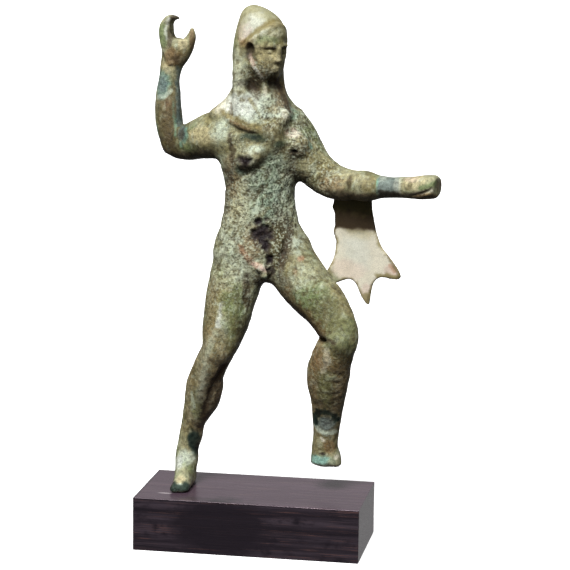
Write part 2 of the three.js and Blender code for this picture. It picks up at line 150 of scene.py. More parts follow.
def makeCamera(spec):
    data = bpy.data.cameras.new("camera")
    data.lens = spec["lens"]
    data.sensor_width = spec["sensor"]
    data.clip_end = spec["reach"]
    camera = addObject("camera", data)
    turn = Matrix.Rotation(math.radians(spec["yaw"]), 4, "Z")
    tip = Matrix.Rotation(math.radians(90.0 - spec["pitch"]), 4, "X")
    roll = Matrix.Rotation(math.radians(spec["roll"]), 4, "Z")
    camera.matrix_world = Matrix.Translation(spec["place"]) @ turn @ tip @ roll
    bpy.context.scene.camera = camera


def aimed(place, target):
    # A light shines along its own -Z, so that axis is turned to run from its place to the target.
    place, target = Vector(place), Vector(target)
    return Matrix.Translation(place) @ (target - place).to_track_quat("-Z", "Y").to_matrix().to_4x4()


def makeLights(spec):
    middle = sum((Vector(corner) for corner in cadBox), Vector()) / 2
    sun = bpy.data.lights.new("sun", "SUN")
    sun.energy = spec["sunPower"]
    sun.angle = math.radians(spec["sunWidth"])
    box = bpy.data.lights.new("softbox", "AREA")
    box.energy = spec["boxPower"]
    box.size = spec["boxSize"]
    for light, place in ((sun, spec["sunFrom"]), (box, spec["boxFrom"])):
        addObject(light.name, light).matrix_world = aimed(place, middle)


def makeSky(spec):
    # White from above and dim from below, by the height z of the direction that is looked in, times
    # 1 + skyAside x + skyBehind y, dimmed to the sides, plus the sweep where y is near 1 and z is below 0.
    world = bpy.data.worlds.new("tent")
    world.use_nodes = True
    tree = world.node_tree
    tree.nodes.clear()
    direction = newNode(tree, "TexCoord").outputs["Generated"]
    parts = newNode(tree, "SeparateXYZ", {0: direction}).outputs
    rise = stretched(tree, parts["Z"], *spec["horizon"], spec["skyBelow"], spec["skyAbove"])
    slope = (spec["skyAside"], spec["skyBehind"], 0.0)
    lean = newNode(tree, "VectorMath", {0: direction, 1: slope}, operation="DOT_PRODUCT").outputs["Value"]
    cards = stretched(tree, worked(tree, "ABSOLUTE", parts["X"]), *spec["cards"], 1.0, spec["skySides"])
    dimmed = worked(tree, "MULTIPLY", worked(tree, "ADD", lean, 1.0), cards)
    tent = worked(tree, "MULTIPLY", dimmed, rise)
    low = stretched(tree, parts["Z"], *spec["sweepLow"])
    far = stretched(tree, parts["Y"], *spec["sweepFar"], 0.0, spec["sweep"])
    strength = worked(tree, "ADD", tent, worked(tree, "MULTIPLY", low, far))
    light = newNode(tree, "Background", {"Strength": strength})
    newNode(tree, "OutputWorld", {"Surface": light.outputs[0]})
    bpy.context.scene.world = world


def makeFloor(spec):
    half = spec["floorHalf"]
    corners = [(-half, -half, 0.0), (half, -half, 0.0), (half, half, 0.0), (-half, half, 0.0)]
    mesh = bpy.data.meshes.new("floor")
    mesh.from_pydata(corners, [], [(0, 1, 2, 3)])
    paper, _, _ = newMaterial("pale paper", {
        "Base Color": (spec["floorShade"],) * 3 + (1.0,),
        "Roughness": spec["floorRough"],
        "Specular IOR Level": spec["floorShine"],
        "Emission Color": (1.0, 1.0, 1.0, 1.0),
        "Emission Strength": spec["floorGlow"],
    })
    mesh.materials.append(paper)
    floor = addObject("floor", mesh)
    floor.visible_diffuse = False  # the paper throws no light back up under the figure
    floor.visible_glossy = False  # and doesn't show in it, as if a dark card lay before it


makeCamera(cameraView)
makeLights(studio)
makeSky(studio)
makeFloor(studio)
bpy.context.scene.view_settings.view_transform = "Standard"
print("camera, lights and floor are up")

# Curves, swept forms and fields. The figure is set out in hundredths of its height from its right sole.


def splineThrough(points, places):
    # Uniform Catmull-Rom: between points b and c the cubic with slopes (c - a) / 2 and (d - b) / 2.
    points = np.asarray(points, float)
    ends = np.vstack([2 * points[0] - points[1], points, 2 * points[-1] - points[-2]])
    row = np.clip(np.floor(places).astype(int), 0, len(points) - 2)
    t = (places - row)[:, None]
    a, b, c, d = (ends[row + shift] for shift in range(4))
    slopeB, slopeC = (c - a) / 2, (d - b) / 2
    return (
        b * (2 * t**3 - 3 * t**2 + 1)
        + c * (3 * t**2 - 2 * t**3)
        + slopeB * (t**3 - 2 * t**2 + t)
        + slopeC * (t**3 - t**2)
    )


def unit(rows):
    return rows / np.linalg.norm(rows, axis=-1, keepdims=True)


thinnest = 0.04  # no half size of a swept form falls below it
ringsPerSpan = 6


def sweptForm(stations, around, level=False):
    # A station is [x, y, z, side, front, back, turn], or [x, y, z, radius] where the form is round.
    # The surface at (u, v) is the path's point at u, plus its side times the half width times cos v,
    # plus its front times the half depth times sin v. The rings stand square to the path, or lie level.
    rows = np.array([row if len(row) == 7 else row[:3] + row[3:] * 3 + [0] for row in stations], float)
    places = np.linspace(0, len(rows) - 1, ringsPerSpan * (len(rows) - 1) + 1)
    middles = splineThrough(rows[:, :3], places)
    halves = np.maximum(splineThrough(rows[:, 3:6], places), thinnest)
    turns = np.radians(np.interp(places, np.arange(len(rows)), rows[:, 6]))
    along = np.tile([0.0, 0.0, 1.0], (len(middles), 1)) if level else unit(np.gradient(middles, axis=0))
    front = np.stack([np.sin(turns), -np.cos(turns), np.zeros_like(turns)], 1)
    front = unit(front - along * (front * along).sum(1, keepdims=True))
    side = np.cross(front, along)
    v = np.linspace(0, 2 * math.pi, around, endpoint=False)
    depth = np.where(np.sin(v) > 0, halves[:, 1:2], halves[:, 2:3])
    across = (halves[:, :1] * np.cos(v))[..., None] * side[:, None]
    deep = (depth * np.sin(v))[..., None] * front[:, None]
    return closedTube(middles[:, None] + across + deep)


def closedTube(rings):
    # Rings of points joined by quads, each end closed by a fan round its middle.
    count, around = rings.shape[:2]
    points = np.vstack([rings.reshape(-1, 3), rings[0].mean(0), rings[-1].mean(0)])
    i, j = np.meshgrid(np.arange(count - 1), np.arange(around), indexing="ij")
    here, beside = i * around + j, i * around + (j + 1) % around
    quads = np.stack([here, here + around, beside + around, beside], -1).reshape(-1, 4)
    j = np.arange(around)
    low = np.stack([np.full(around, len(points) - 2), j, (j + 1) % around], 1)
    last = (count - 1) * around
    high = np.stack([np.full(around, len(points) - 1), last + (j + 1) % around, last + j], 1)
    return points, quads, np.vstack([low, high])


def softUnion(a, b, soft):
    # The smaller distance, less (soft - |a - b|)^2 / (4 soft) where the two are closer than soft.
    near = np.maximum(soft - np.abs(a - b), 0.0)
    return np.minimum(a, b) - near * near / (4 * soft)


def softCut(a, b, soft):
    return -softUnion(-a, b, soft)


class Clay:
    # Signed distances on a block of grid points: negative in the bronze, positive outside.

    def __init__(self, low, high, step, band=8):
        self.step = step
        self.band = band
        self.far = band * step
        self.first = np.floor(np.array(low) / step).astype(int)
        self.shape = np.ceil(np.array(high) / step).astype(int) - self.first + 1
        self.field = np.full(self.shape, self.far, np.float32)
        self.transform = vdb.createLinearTransform(voxelSize=step)

    def window(self, low, high):
        # The grid points of a box and a band round it: the first on each axis, and the one after the last.
        start = np.clip(np.floor(low / self.step).astype(int) - self.band - self.first, 0, self.shape)
        stop = np.clip(np.ceil(high / self.step).astype(int) + self.band + 1 - self.first, 0, self.shape)
        return start, stop

    def places(self, start, stop):
        axes = [(np.arange(a, b) + f) * self.step for a, b, f in zip(start, stop, self.first)]
        return np.stack(np.meshgrid(*axes, indexing="ij"), -1).astype(np.float32)

    def formDistance(self, form, start, stop):
        points, quads, triangles = form
        grid = vdb.FloatGrid.createLevelSetFromPolygons(
            points.astype(np.float32),
            triangles=triangles.astype(np.uint32),
            quads=quads.astype(np.uint32),
            transform=self.transform,
            halfWidth=float(self.band),
        )
        distance = np.full(stop - start, self.far, np.float32)
        grid.copyToArray(distance, ijk=tuple(int(n) for n in start + self.first))
        return distance

    def put(self, distance, start, stop, soft, cut=False):
        block = tuple(slice(a, b) for a, b in zip(start, stop))
        join = softCut if cut else softUnion
        joined = join(self.field[block], distance, soft)
        self.field[block] = np.clip(joined, -self.far, self.far)

    def addForm(self, form, soft, cut=False):
        start, stop = self.window(form[0].min(0), form[0].max(0))
        if (stop > start).all():
            self.put(self.formDistance(form, start, stop), start, stop, soft, cut)

    def addMass(self, mass, carrier=None):
        # An ellipsoid's distance is about r (r - 1) / g, where r is the length of the place over the half
        # sizes, and g the length of that over them once more.
        half = np.array(mass["half"], float)
        at, turn = massFrame(mass, carrier)
        reach = np.abs(turn) @ half
        start, stop = self.window(at - reach, at + reach)
        if (stop > start).all():
            local = (self.places(start, stop) - at.astype(np.float32)) @ turn.astype(np.float32)
            r = np.linalg.norm(local / half, axis=-1)
            g = np.linalg.norm(local / half**2, axis=-1) + 1e-6
            distance = (r * (r - 1.0) / g).astype(np.float32)
            self.put(distance, start, stop, mass["soft"], mass["cut"])


def turned(axis, degrees):
    return np.array(Matrix.Rotation(math.radians(degrees), 3, axis))


def roundMass(at, half, soft, turn=0, lean=0, cut=False):
    # An ellipsoid by its middle and half sizes, how widely it runs into the rest, and its turns in degrees.
    return {"at": at, "half": half, "soft": soft, "turn": turn, "lean": lean, "cut": cut}


def mirrored(at, half, soft, turn, cut=False):
    # The same mass on the left and on the right.
    x, y, z = at
    return [roundMass((x * side, y, z), half, soft, turn * side, cut=cut) for side in (1, -1)]


def massFrame(mass, carrier):
    # Its middle and its axes as columns: leaned about y, turned about z, then carried by the head's frame.
    at = np.array(mass["at"], float)
    turn = turned("Z", mass["turn"]) @ turned("Y", mass["lean"])
    if carrier:
        at, turn = carrier["axes"] @ at + carrier["at"], carrier["axes"] @ turn
    return at, turn


def blurred(block, steps):
    # The mean over a box of steps to each side, along each axis in turn, by differences of a running sum.
    for axis in range(3):
        edges = [(steps + 1, steps) if k == axis else (0, 0) for k in range(3)]
        total = np.cumsum(np.pad(block, edges, mode="edge"), axis=axis, dtype=np.float64)
        size = total.shape[axis]
        upper = np.take(total, range(2 * steps + 1, size), axis=axis)
        lower = np.take(total, range(0, size - 2 * steps - 1), axis=axis)
        block = ((upper - lower) / (2 * steps + 1)).astype(np.float32)
    return block


def betweenCorners(cell, f, valueAt):
    # Trilinear: the values at a cell's eight corners, each weighted by the point's nearness along the axes.
    total = 0.0
    for corner in np.ndindex(2, 2, 2):
        weight = np.prod(np.where(corner, f, 1 - f), axis=1)
        total = total + weight * valueAt(cell + np.array(corner))
    return total


def sampled(block, clay, points):
    q = points / clay.step - clay.first
    cell = np.clip(np.floor(q).astype(int), 0, np.array(block.shape[:3]) - 2)
    return betweenCorners(cell, np.clip(q - cell, 0, 1), lambda corner: block[tuple(corner.T)])


noise = {
    "start": 512.0,  # keeps the numbers of all cells above 0
    "perSeed": 3.17,  # cells by which a seed moves the pattern
    "turn": turned("X", 37) @ turned("Z", 29),  # of each octave against the one before
    "finer": 0.53,
    "weaker": 0.55,
    "gain": 1.6,  # brings the sum of the octaves back to about -1 to 1
    "axisFactors": (73856093, 19349663, 83492791),  # large odd numbers that scramble the cells' numbers
    "seedFactor": 2654435761,
    "mixFactors": (0x9E3779B97F4A7C15, 0xBF58476D1CE4E5B9),
}


def hashed(cell, seed):
    # Three whole numbers scrambled to a fixed fraction between 0 and 1.
    c = cell.astype(np.uint64)
    n = np.uint64(seed * noise["seedFactor"] % 2**32)
    for k, factor in enumerate(noise["axisFactors"]):
        n = n ^ c[..., k] * np.uint64(factor)
    first, second = (np.uint64(factor) for factor in noise["mixFactors"])
    n = n * first
    n = (n ^ (n >> np.uint64(29))) * second
    return ((n >> np.uint64(40)).astype(float)) / 2**24


def latticeNoise(points, size, seed):
    # Chance values at the corners of cubes of that size, blended smoothly inside each cube; -1 to 1.
    q = points / size + noise["start"] + seed * noise["perSeed"]
    cell = np.floor(q).astype(np.int64)
    f = q - cell
    return 2 * betweenCorners(cell, f * f * (3 - 2 * f), lambda corner: hashed(corner, seed)) - 1


def roughNoise(points, size, seed, octaves):
    # Lattice noise, turned and made about half as wide and as high for each octave.
    total, weight, height = 0.0, 0.0, 1.0
    for octave in range(octaves):
        total = total + height * latticeNoise(points, size, seed + octave)
        weight += height
        points, size, height = points @ noise["turn"], size * noise["finer"], height * noise["weaker"]
    return total / weight * noise["gain"]


def ramp(values, low, high):
    # 0 below low, 1 above high, smoothstep between.
    t = np.clip((values - low) / (high - low), 0, 1)
    return t * t * (3 - 2 * t)


# The bronze figure

figure = {
    "lowCorner": (-7.64, -9.58, 0.0),  # the figure's own box, in hundredths of its height
    "crown": 100.09,
    "step": 0.32,  # grid step, about half a millimetre
    "room": 1.5,  # hundredths of grid beyond the box
    "hollows": [(3, 0.6), (8, 0.9)],  # a narrow and a broad hollow: grid steps to each side, and its weight
    "joins": {  # points round each form, and how widely it runs into what is there before it
        "torso": (64, 0.1),
        "rightLeg": (40, 1.7),
        "leftLeg": (40, 1.7),
        "rightFoot": (40, 1.0),
        "shin": (16, 1.6),
        "grooves": (16, 0.7),
        "rightUpperArm": (40, 1.7),
        "leftArm": (40, 1.7),
        "rightForearm": (40, 0.9),
        "neck": (40, 0.6),
    },
    "torso": [  # x, y, z, half width, half depth in front and behind, and turn in degrees
        [16.3, 1.0, 44.2, 2.6, 2.2, 3.0, 17],
        [16.3, 1.0, 45.0, 5.0, 4.0, 4.8, 17],
        [16.1, 1.1, 46.6, 7.8, 4.9, 5.8, 17],
        [15.9, 1.2, 50.3, 9.5, 5.5, 6.4, 18],
        [15.6, 1.2, 53.2, 9.0, 5.2, 5.6, 19],
        [15.5, 1.2, 56.1, 8.0, 4.9, 4.6, 20],
        [15.5, 1.2, 59.3, 7.3, 4.7, 4.2, 21],
        [15.5, 1.2, 62.2, 7.2, 4.7, 4.2, 22],
        [15.6, 1.2, 65.1, 7.6, 5.0, 4.6, 24],
        [15.8, 1.2, 68.4, 8.9, 5.4, 5.2, 25],
        [16.4, 1.2, 71.6, 9.4, 5.6, 5.6, 26],
        [16.5, 1.2, 74.5, 9.1, 5.2, 5.6, 26],
        [15.8, 1.3, 77.0, 7.6, 4.4, 5.0, 26],
        [15.5, 1.4, 79.2, 5.4, 3.6, 4.2, 28],
        [15.6, 1.4, 80.6, 3.4, 2.6, 3.0, 28],
    ],
    "neck": [
        [16.2, 0.4, 76.0, 3.4, 3.6, 3.0, 36],
        [16.2, 0.1, 79.5, 3.1, 3.1, 3.0, 38],
        [16.1, 0.0, 83.0, 2.9, 2.8, 3.0, 42],
        [16.0, 0.2, 87.0, 3.0, 2.6, 3.0, 46],
    ],
    "rightUpperArm": [
        [14.4, 0.2, 74.2, 3.0, 3.0, 3.6, -40],
        [11.4, -0.4, 74.5, 4.5, 3.8, 4.4, -40],
        [8.4, -0.2, 74.0, 5.1, 4.1, 4.0, -38],
        [5.0, 1.2, 73.3, 4.7, 3.8, 3.6, -34],
        [2.6, 2.9, 72.5, 4.2, 3.5, 3.3, -32],
        [0.2, 4.2, 71.7, 3.8, 3.2, 3.1, -30],
        [-2.1, 5.3, 71.3, 3.5, 2.9, 2.9, -28],
        [-3.9, 6.0, 71.0, 2.8, 2.5, 2.5, -26],
        [-5.2, 6.5, 70.7, 1.5, 1.4, 1.4, -26],
    ],
    "rightForearm": [
        [-3.9, 6.2, 69.2, 1.4, 1.6, 1.6, 0],
        [-4.1, 6.3, 70.4, 2.0, 2.4, 2.4, 0],
        [-4.3, 6.4, 72.0, 2.45, 2.8, 2.8, 0],
        [-4.5, 6.4, 74.2, 2.65, 2.9, 2.9, 0],
        [-4.8, 6.4, 76.7, 2.8, 2.8, 2.8, 0],
        [-4.9, 6.2, 79.1, 2.7, 2.6, 2.6, 0],
        [-4.8, 6.1, 81.6, 2.5, 2.3, 2.3, 0],
        [-4.6, 5.9, 84.1, 2.15, 1.9, 1.9, 0],
        [-4.3, 5.9, 86.2, 2.2, 2.0, 2.0, 0],
        [-3.9, 5.9, 87.8, 2.4, 2.2, 2.2, 0],
        [-3.4, 5.9, 89.2, 2.9, 2.5, 2.4, 0],
        [-3.0, 5.9, 90.6, 3.25, 2.6, 2.5, 0],
        [-2.7, 5.9, 91.7, 3.35, 2.5, 2.4, 0],
        [-2.6, 5.9, 92.6, 3.0, 2.1, 2.0, 0],
    ],
    "leftArm": [
        [18.6, 3.2, 76.2, 3.0, 3.6, 3.6, 20],
        [20.6, 4.4, 75.4, 3.6, 4.0, 4.0, 20],
        [22.1, 4.8, 73.5, 4.2, 4.1, 4.1, 20],
        [23.7, 4.5, 70.5, 4.3, 3.9, 3.9, 20],
        [26.4, 3.6, 67.2, 4.0, 3.7, 3.6, 20],
        [29.6, 2.4, 65.1, 3.6, 3.5, 3.4, 16],
        [32.5, 1.2, 64.4, 3.4, 3.3, 3.2, 10],
        [35.2, 0.1, 64.4, 2.95, 3.0, 2.9, 10],
        [37.8, -1.1, 64.3, 2.8, 2.7, 2.7, 10],
        [40.5, -2.3, 64.5, 2.35, 2.4, 2.4, 10],
        [43.1, -3.5, 64.7, 2.15, 2.1, 2.1, 10],
        [45.6, -4.7, 64.9, 2.15, 2.2, 2.2, 10],
        [47.6, -5.6, 65.0, 2.25, 2.4, 2.4, 10],
        [49.4, -6.4, 65.2, 2.4, 2.5, 2.5, 10],
        [51.0, -7.1, 65.5, 2.4, 2.5, 2.5, 10],
        [52.1, -7.6, 65.6, 2.3, 2.4, 2.4, 10],
        [52.6, -7.8, 65.6, 1.9, 2.0, 2.0, 10],
    ],
    "rightLeg": [
        [13.0, 0.8, 54.6, 3.4, 3.4, 4.0, 12],
        [12.2, 0.7, 50.8, 5.3, 4.9, 5.8, 12],
        [11.4, 0.4, 46.6, 5.5, 5.3, 6.4, 10],
        [10.4, -0.5, 42.1, 5.3, 5.3, 5.4, 8],
        [9.9, -1.0, 39.7, 5.1, 5.2, 5.2, 7],
        [9.5, -1.5, 37.2, 4.95, 5.0, 5.0, 6],
        [9.0, -2.0, 34.8, 4.6, 4.7, 4.7, 6],
        [8.5, -2.5, 32.4, 4.1, 4.3, 4.3, 5],
        [7.8, -2.8, 29.9, 3.4, 3.9, 3.9, 5],
        [6.5, -2.5, 27.3, 3.4, 3.6, 3.9, 5],
        [5.3, -1.7, 24.5, 3.5, 3.4, 4.3, 5],
        [4.6, -0.8, 21.8, 3.85, 3.4, 4.5, 5],
        [3.9, 0.1, 19.0, 3.7, 3.2, 4.1, 5],
        [2.8, 1.0, 16.2, 3.05, 2.9, 3.4, 5],
        [1.8, 1.8, 13.4, 2.45, 2.5, 2.8, 5],
        [1.2, 2.4, 10.7, 2.4, 2.4, 2.4, 4],
        [0.4, 2.8, 7.9, 2.2, 2.3, 2.3, 4],
        [0.1, 3.0, 5.2, 2.4, 2.6, 2.6, 4],
        [-0.1, 3.0, 2.8, 2.2, 2.8, 2.8, 4],
        [0.0, 3.0, 0.8, 2.0, 2.6, 2.6, 4],
    ],
    "rightFoot": [
        [-0.3, 7.2, 0.9, 0.9, 1.0, 1.0, 90],
        [-0.2, 6.4, 1.1, 2.0, 1.7, 1.7, 90],
        [-0.2, 4.6, 1.3, 3.0, 1.9, 1.9, 90],
        [-0.1, 1.6, 1.3, 3.4, 1.9, 1.9, 90],
        [0.0, -0.6, 1.0, 2.8, 1.9, 1.9, 90],
        [0.0, -2.2, 0.7, 1.9, 2.0, 1.9, 90],
        [0.0, -3.7, 0.5, 1.45, 2.1, 1.9, 90],
        [0.0, -4.9, 0.5, 1.15, 1.8, 1.7, 90],
        [0.1, -5.4, 0.5, 0.7, 1.1, 1.1, 90],
    ],
    "leftLeg": [  # it ends in a stub, where the foot is broken off
        [19.2, 2.4, 54.2, 3.2, 3.4, 3.6, 50],
        [20.5, 2.4, 50.6, 4.9, 4.8, 5.0, 54],
        [23.0, 1.6, 46.2, 5.4, 5.4, 5.4, 60],
        [26.0, -0.3, 43.1, 5.0, 5.2, 5.3, 65],
        [27.9, -1.4, 41.4, 4.7, 5.05, 5.1, 68],
        [29.8, -2.3, 39.7, 4.4, 4.85, 4.8, 70],
        [31.9, -3.7, 37.0, 4.0, 4.45, 4.3, 70],
        [33.0, -4.4, 34.2, 3.8, 4.1, 4.0, 70],
        [32.2, -3.9, 31.3, 3.8, 4.05, 4.05, 70],
        [31.3, -3.0, 28.6, 3.8, 4.3, 4.35, 70],
        [30.7, -2.0, 25.8, 3.8, 4.55, 4.6, 70],
        [30.4, -1.2, 23.1, 3.6, 4.2, 4.3, 70],
        [30.3, -0.3, 20.4, 3.2, 3.65, 3.7, 70],
        [30.1, 0.6, 17.7, 2.8, 3.25, 3.3, 70],
        [29.9, 1.2, 15.0, 2.5, 2.95, 2.95, 70],
        [29.7, 1.7, 12.3, 2.3, 2.7, 2.7, 70],
        [29.5, 2.2, 9.6, 2.4, 2.85, 2.85, 70],
        [29.7, 2.4, 7.5, 2.7, 3.25, 3.25, 70],
        [29.8, 2.4, 6.2, 2.75, 3.3, 3.35, 70],
        [29.8, 2.4, 5.8, 2.6, 3.1, 3.2, 70],
    ],
    "shin": [  # ridge down the front of the right leg
        [8.4, -5.9, 35.4, 0.4], [7.2, -6.0, 32.6, 0.6], [6.1, -5.7, 28.4, 0.6], [5.1, -4.6, 24.0, 0.6],
        [4.0, -2.2, 18.8, 0.3],
    ],
    "grooves": [  # beside the right calf, then three wrinkles over the left shin
        [[9.5, -4.7, 27.2, 0.3], [8.6, -4.3, 25.2, 0.6], [7.6, -4.1, 22.9, 0.65], [6.5, -3.7, 20.7, 0.6],
         [5.7, -3.0, 18.4, 0.45], [4.7, -1.8, 15.6, 0.3]],
        [[30.4, -7.0, 26.5, 0.1], [32.2, -6.75, 26.8, 0.18], [33.8, -5.9, 26.4, 0.1]],
        [[29.8, -6.3, 24.6, 0.1], [31.4, -6.35, 24.7, 0.18], [33.4, -5.3, 24.6, 0.1]],
        [[29.2, -5.0, 22.2, 0.1], [31.4, -5.05, 21.9, 0.18], [33.2, -4.3, 22.1, 0.1]],
    ],
    "muscles": [
        roundMass((14.8, -4.0, 70.2), (3.5, 2.5, 2.2), 0.9, turn=26, lean=-36),  # right breast
        roundMass((23.8, -0.8, 72.3), (2.2, 2.0, 2.3), 1.4, turn=40),  # left breast
        roundMass((25.0, 0.8, 68.8), (2.0, 2.0, 3.0), 1.6, turn=30),  # left flank
        roundMass((11.9, 2.6, 47.8), (5.2, 4.9, 6.2), 1.2, turn=17),  # buttocks
        roundMass((18.9, 4.2, 48.6), (5.2, 4.7, 5.8), 1.2, turn=17),
        # the worn groin
        roundMass((17.2, -3.9, 47.2), (1.6, 1.3, 0.9), 0.5, turn=17, lean=22),
        roundMass((17.6, -3.9, 45.9), (0.9, 1.2, 0.9), 0.5, turn=17),
        roundMass((19.1, -4.4, 47.6), (0.4, 1.0, 2.0), 0.3, turn=17, lean=-8, cut=True),
        # inside the right thigh, then the kneecaps, a crease beside the left one, and the left calf
        roundMass((14.0, -5.2, 41.3), (0.3, 0.8, 3.2), 1.0, lean=14, cut=True),
        roundMass((8.1, -5.2, 30.2), (2.1, 1.6, 2.2), 1.4),
        roundMass((33.2, -6.9, 34.0), (1.9, 1.8, 2.2), 1.5, turn=35),
        roundMass((29.6, -5.8, 33.5), (2.4, 1.3, 0.5), 0.7, turn=-35, lean=-10, cut=True),
        roundMass((30.6, 0.9, 25.0), (2.4, 2.9, 4.8), 1.0, turn=20),
        # the left forearm, with a dent
        roundMass((37.4, -1.2, 64.6), (2.6, 2.5, 2.5), 0.8),
        roundMass((34.9, -2.6, 65.4), (0.5, 0.9, 2.2), 0.5, lean=24, cut=True),
        # the spine, the shoulder blades, and between the buttocks
        roundMass((16.0, 6.8, 59.0), (0.7, 1.1, 9.0), 2.0, cut=True),
        roundMass((11.6, 5.6, 71.0), (2.6, 1.4, 3.4), 1.2, turn=20, lean=14),
        roundMass((19.6, 6.6, 71.0), (2.6, 1.4, 3.4), 1.2, turn=20, lean=-14),
        roundMass((15.4, 8.2, 46.6), (0.5, 1.6, 3.4), 1.4, turn=17, cut=True),
    ],
}

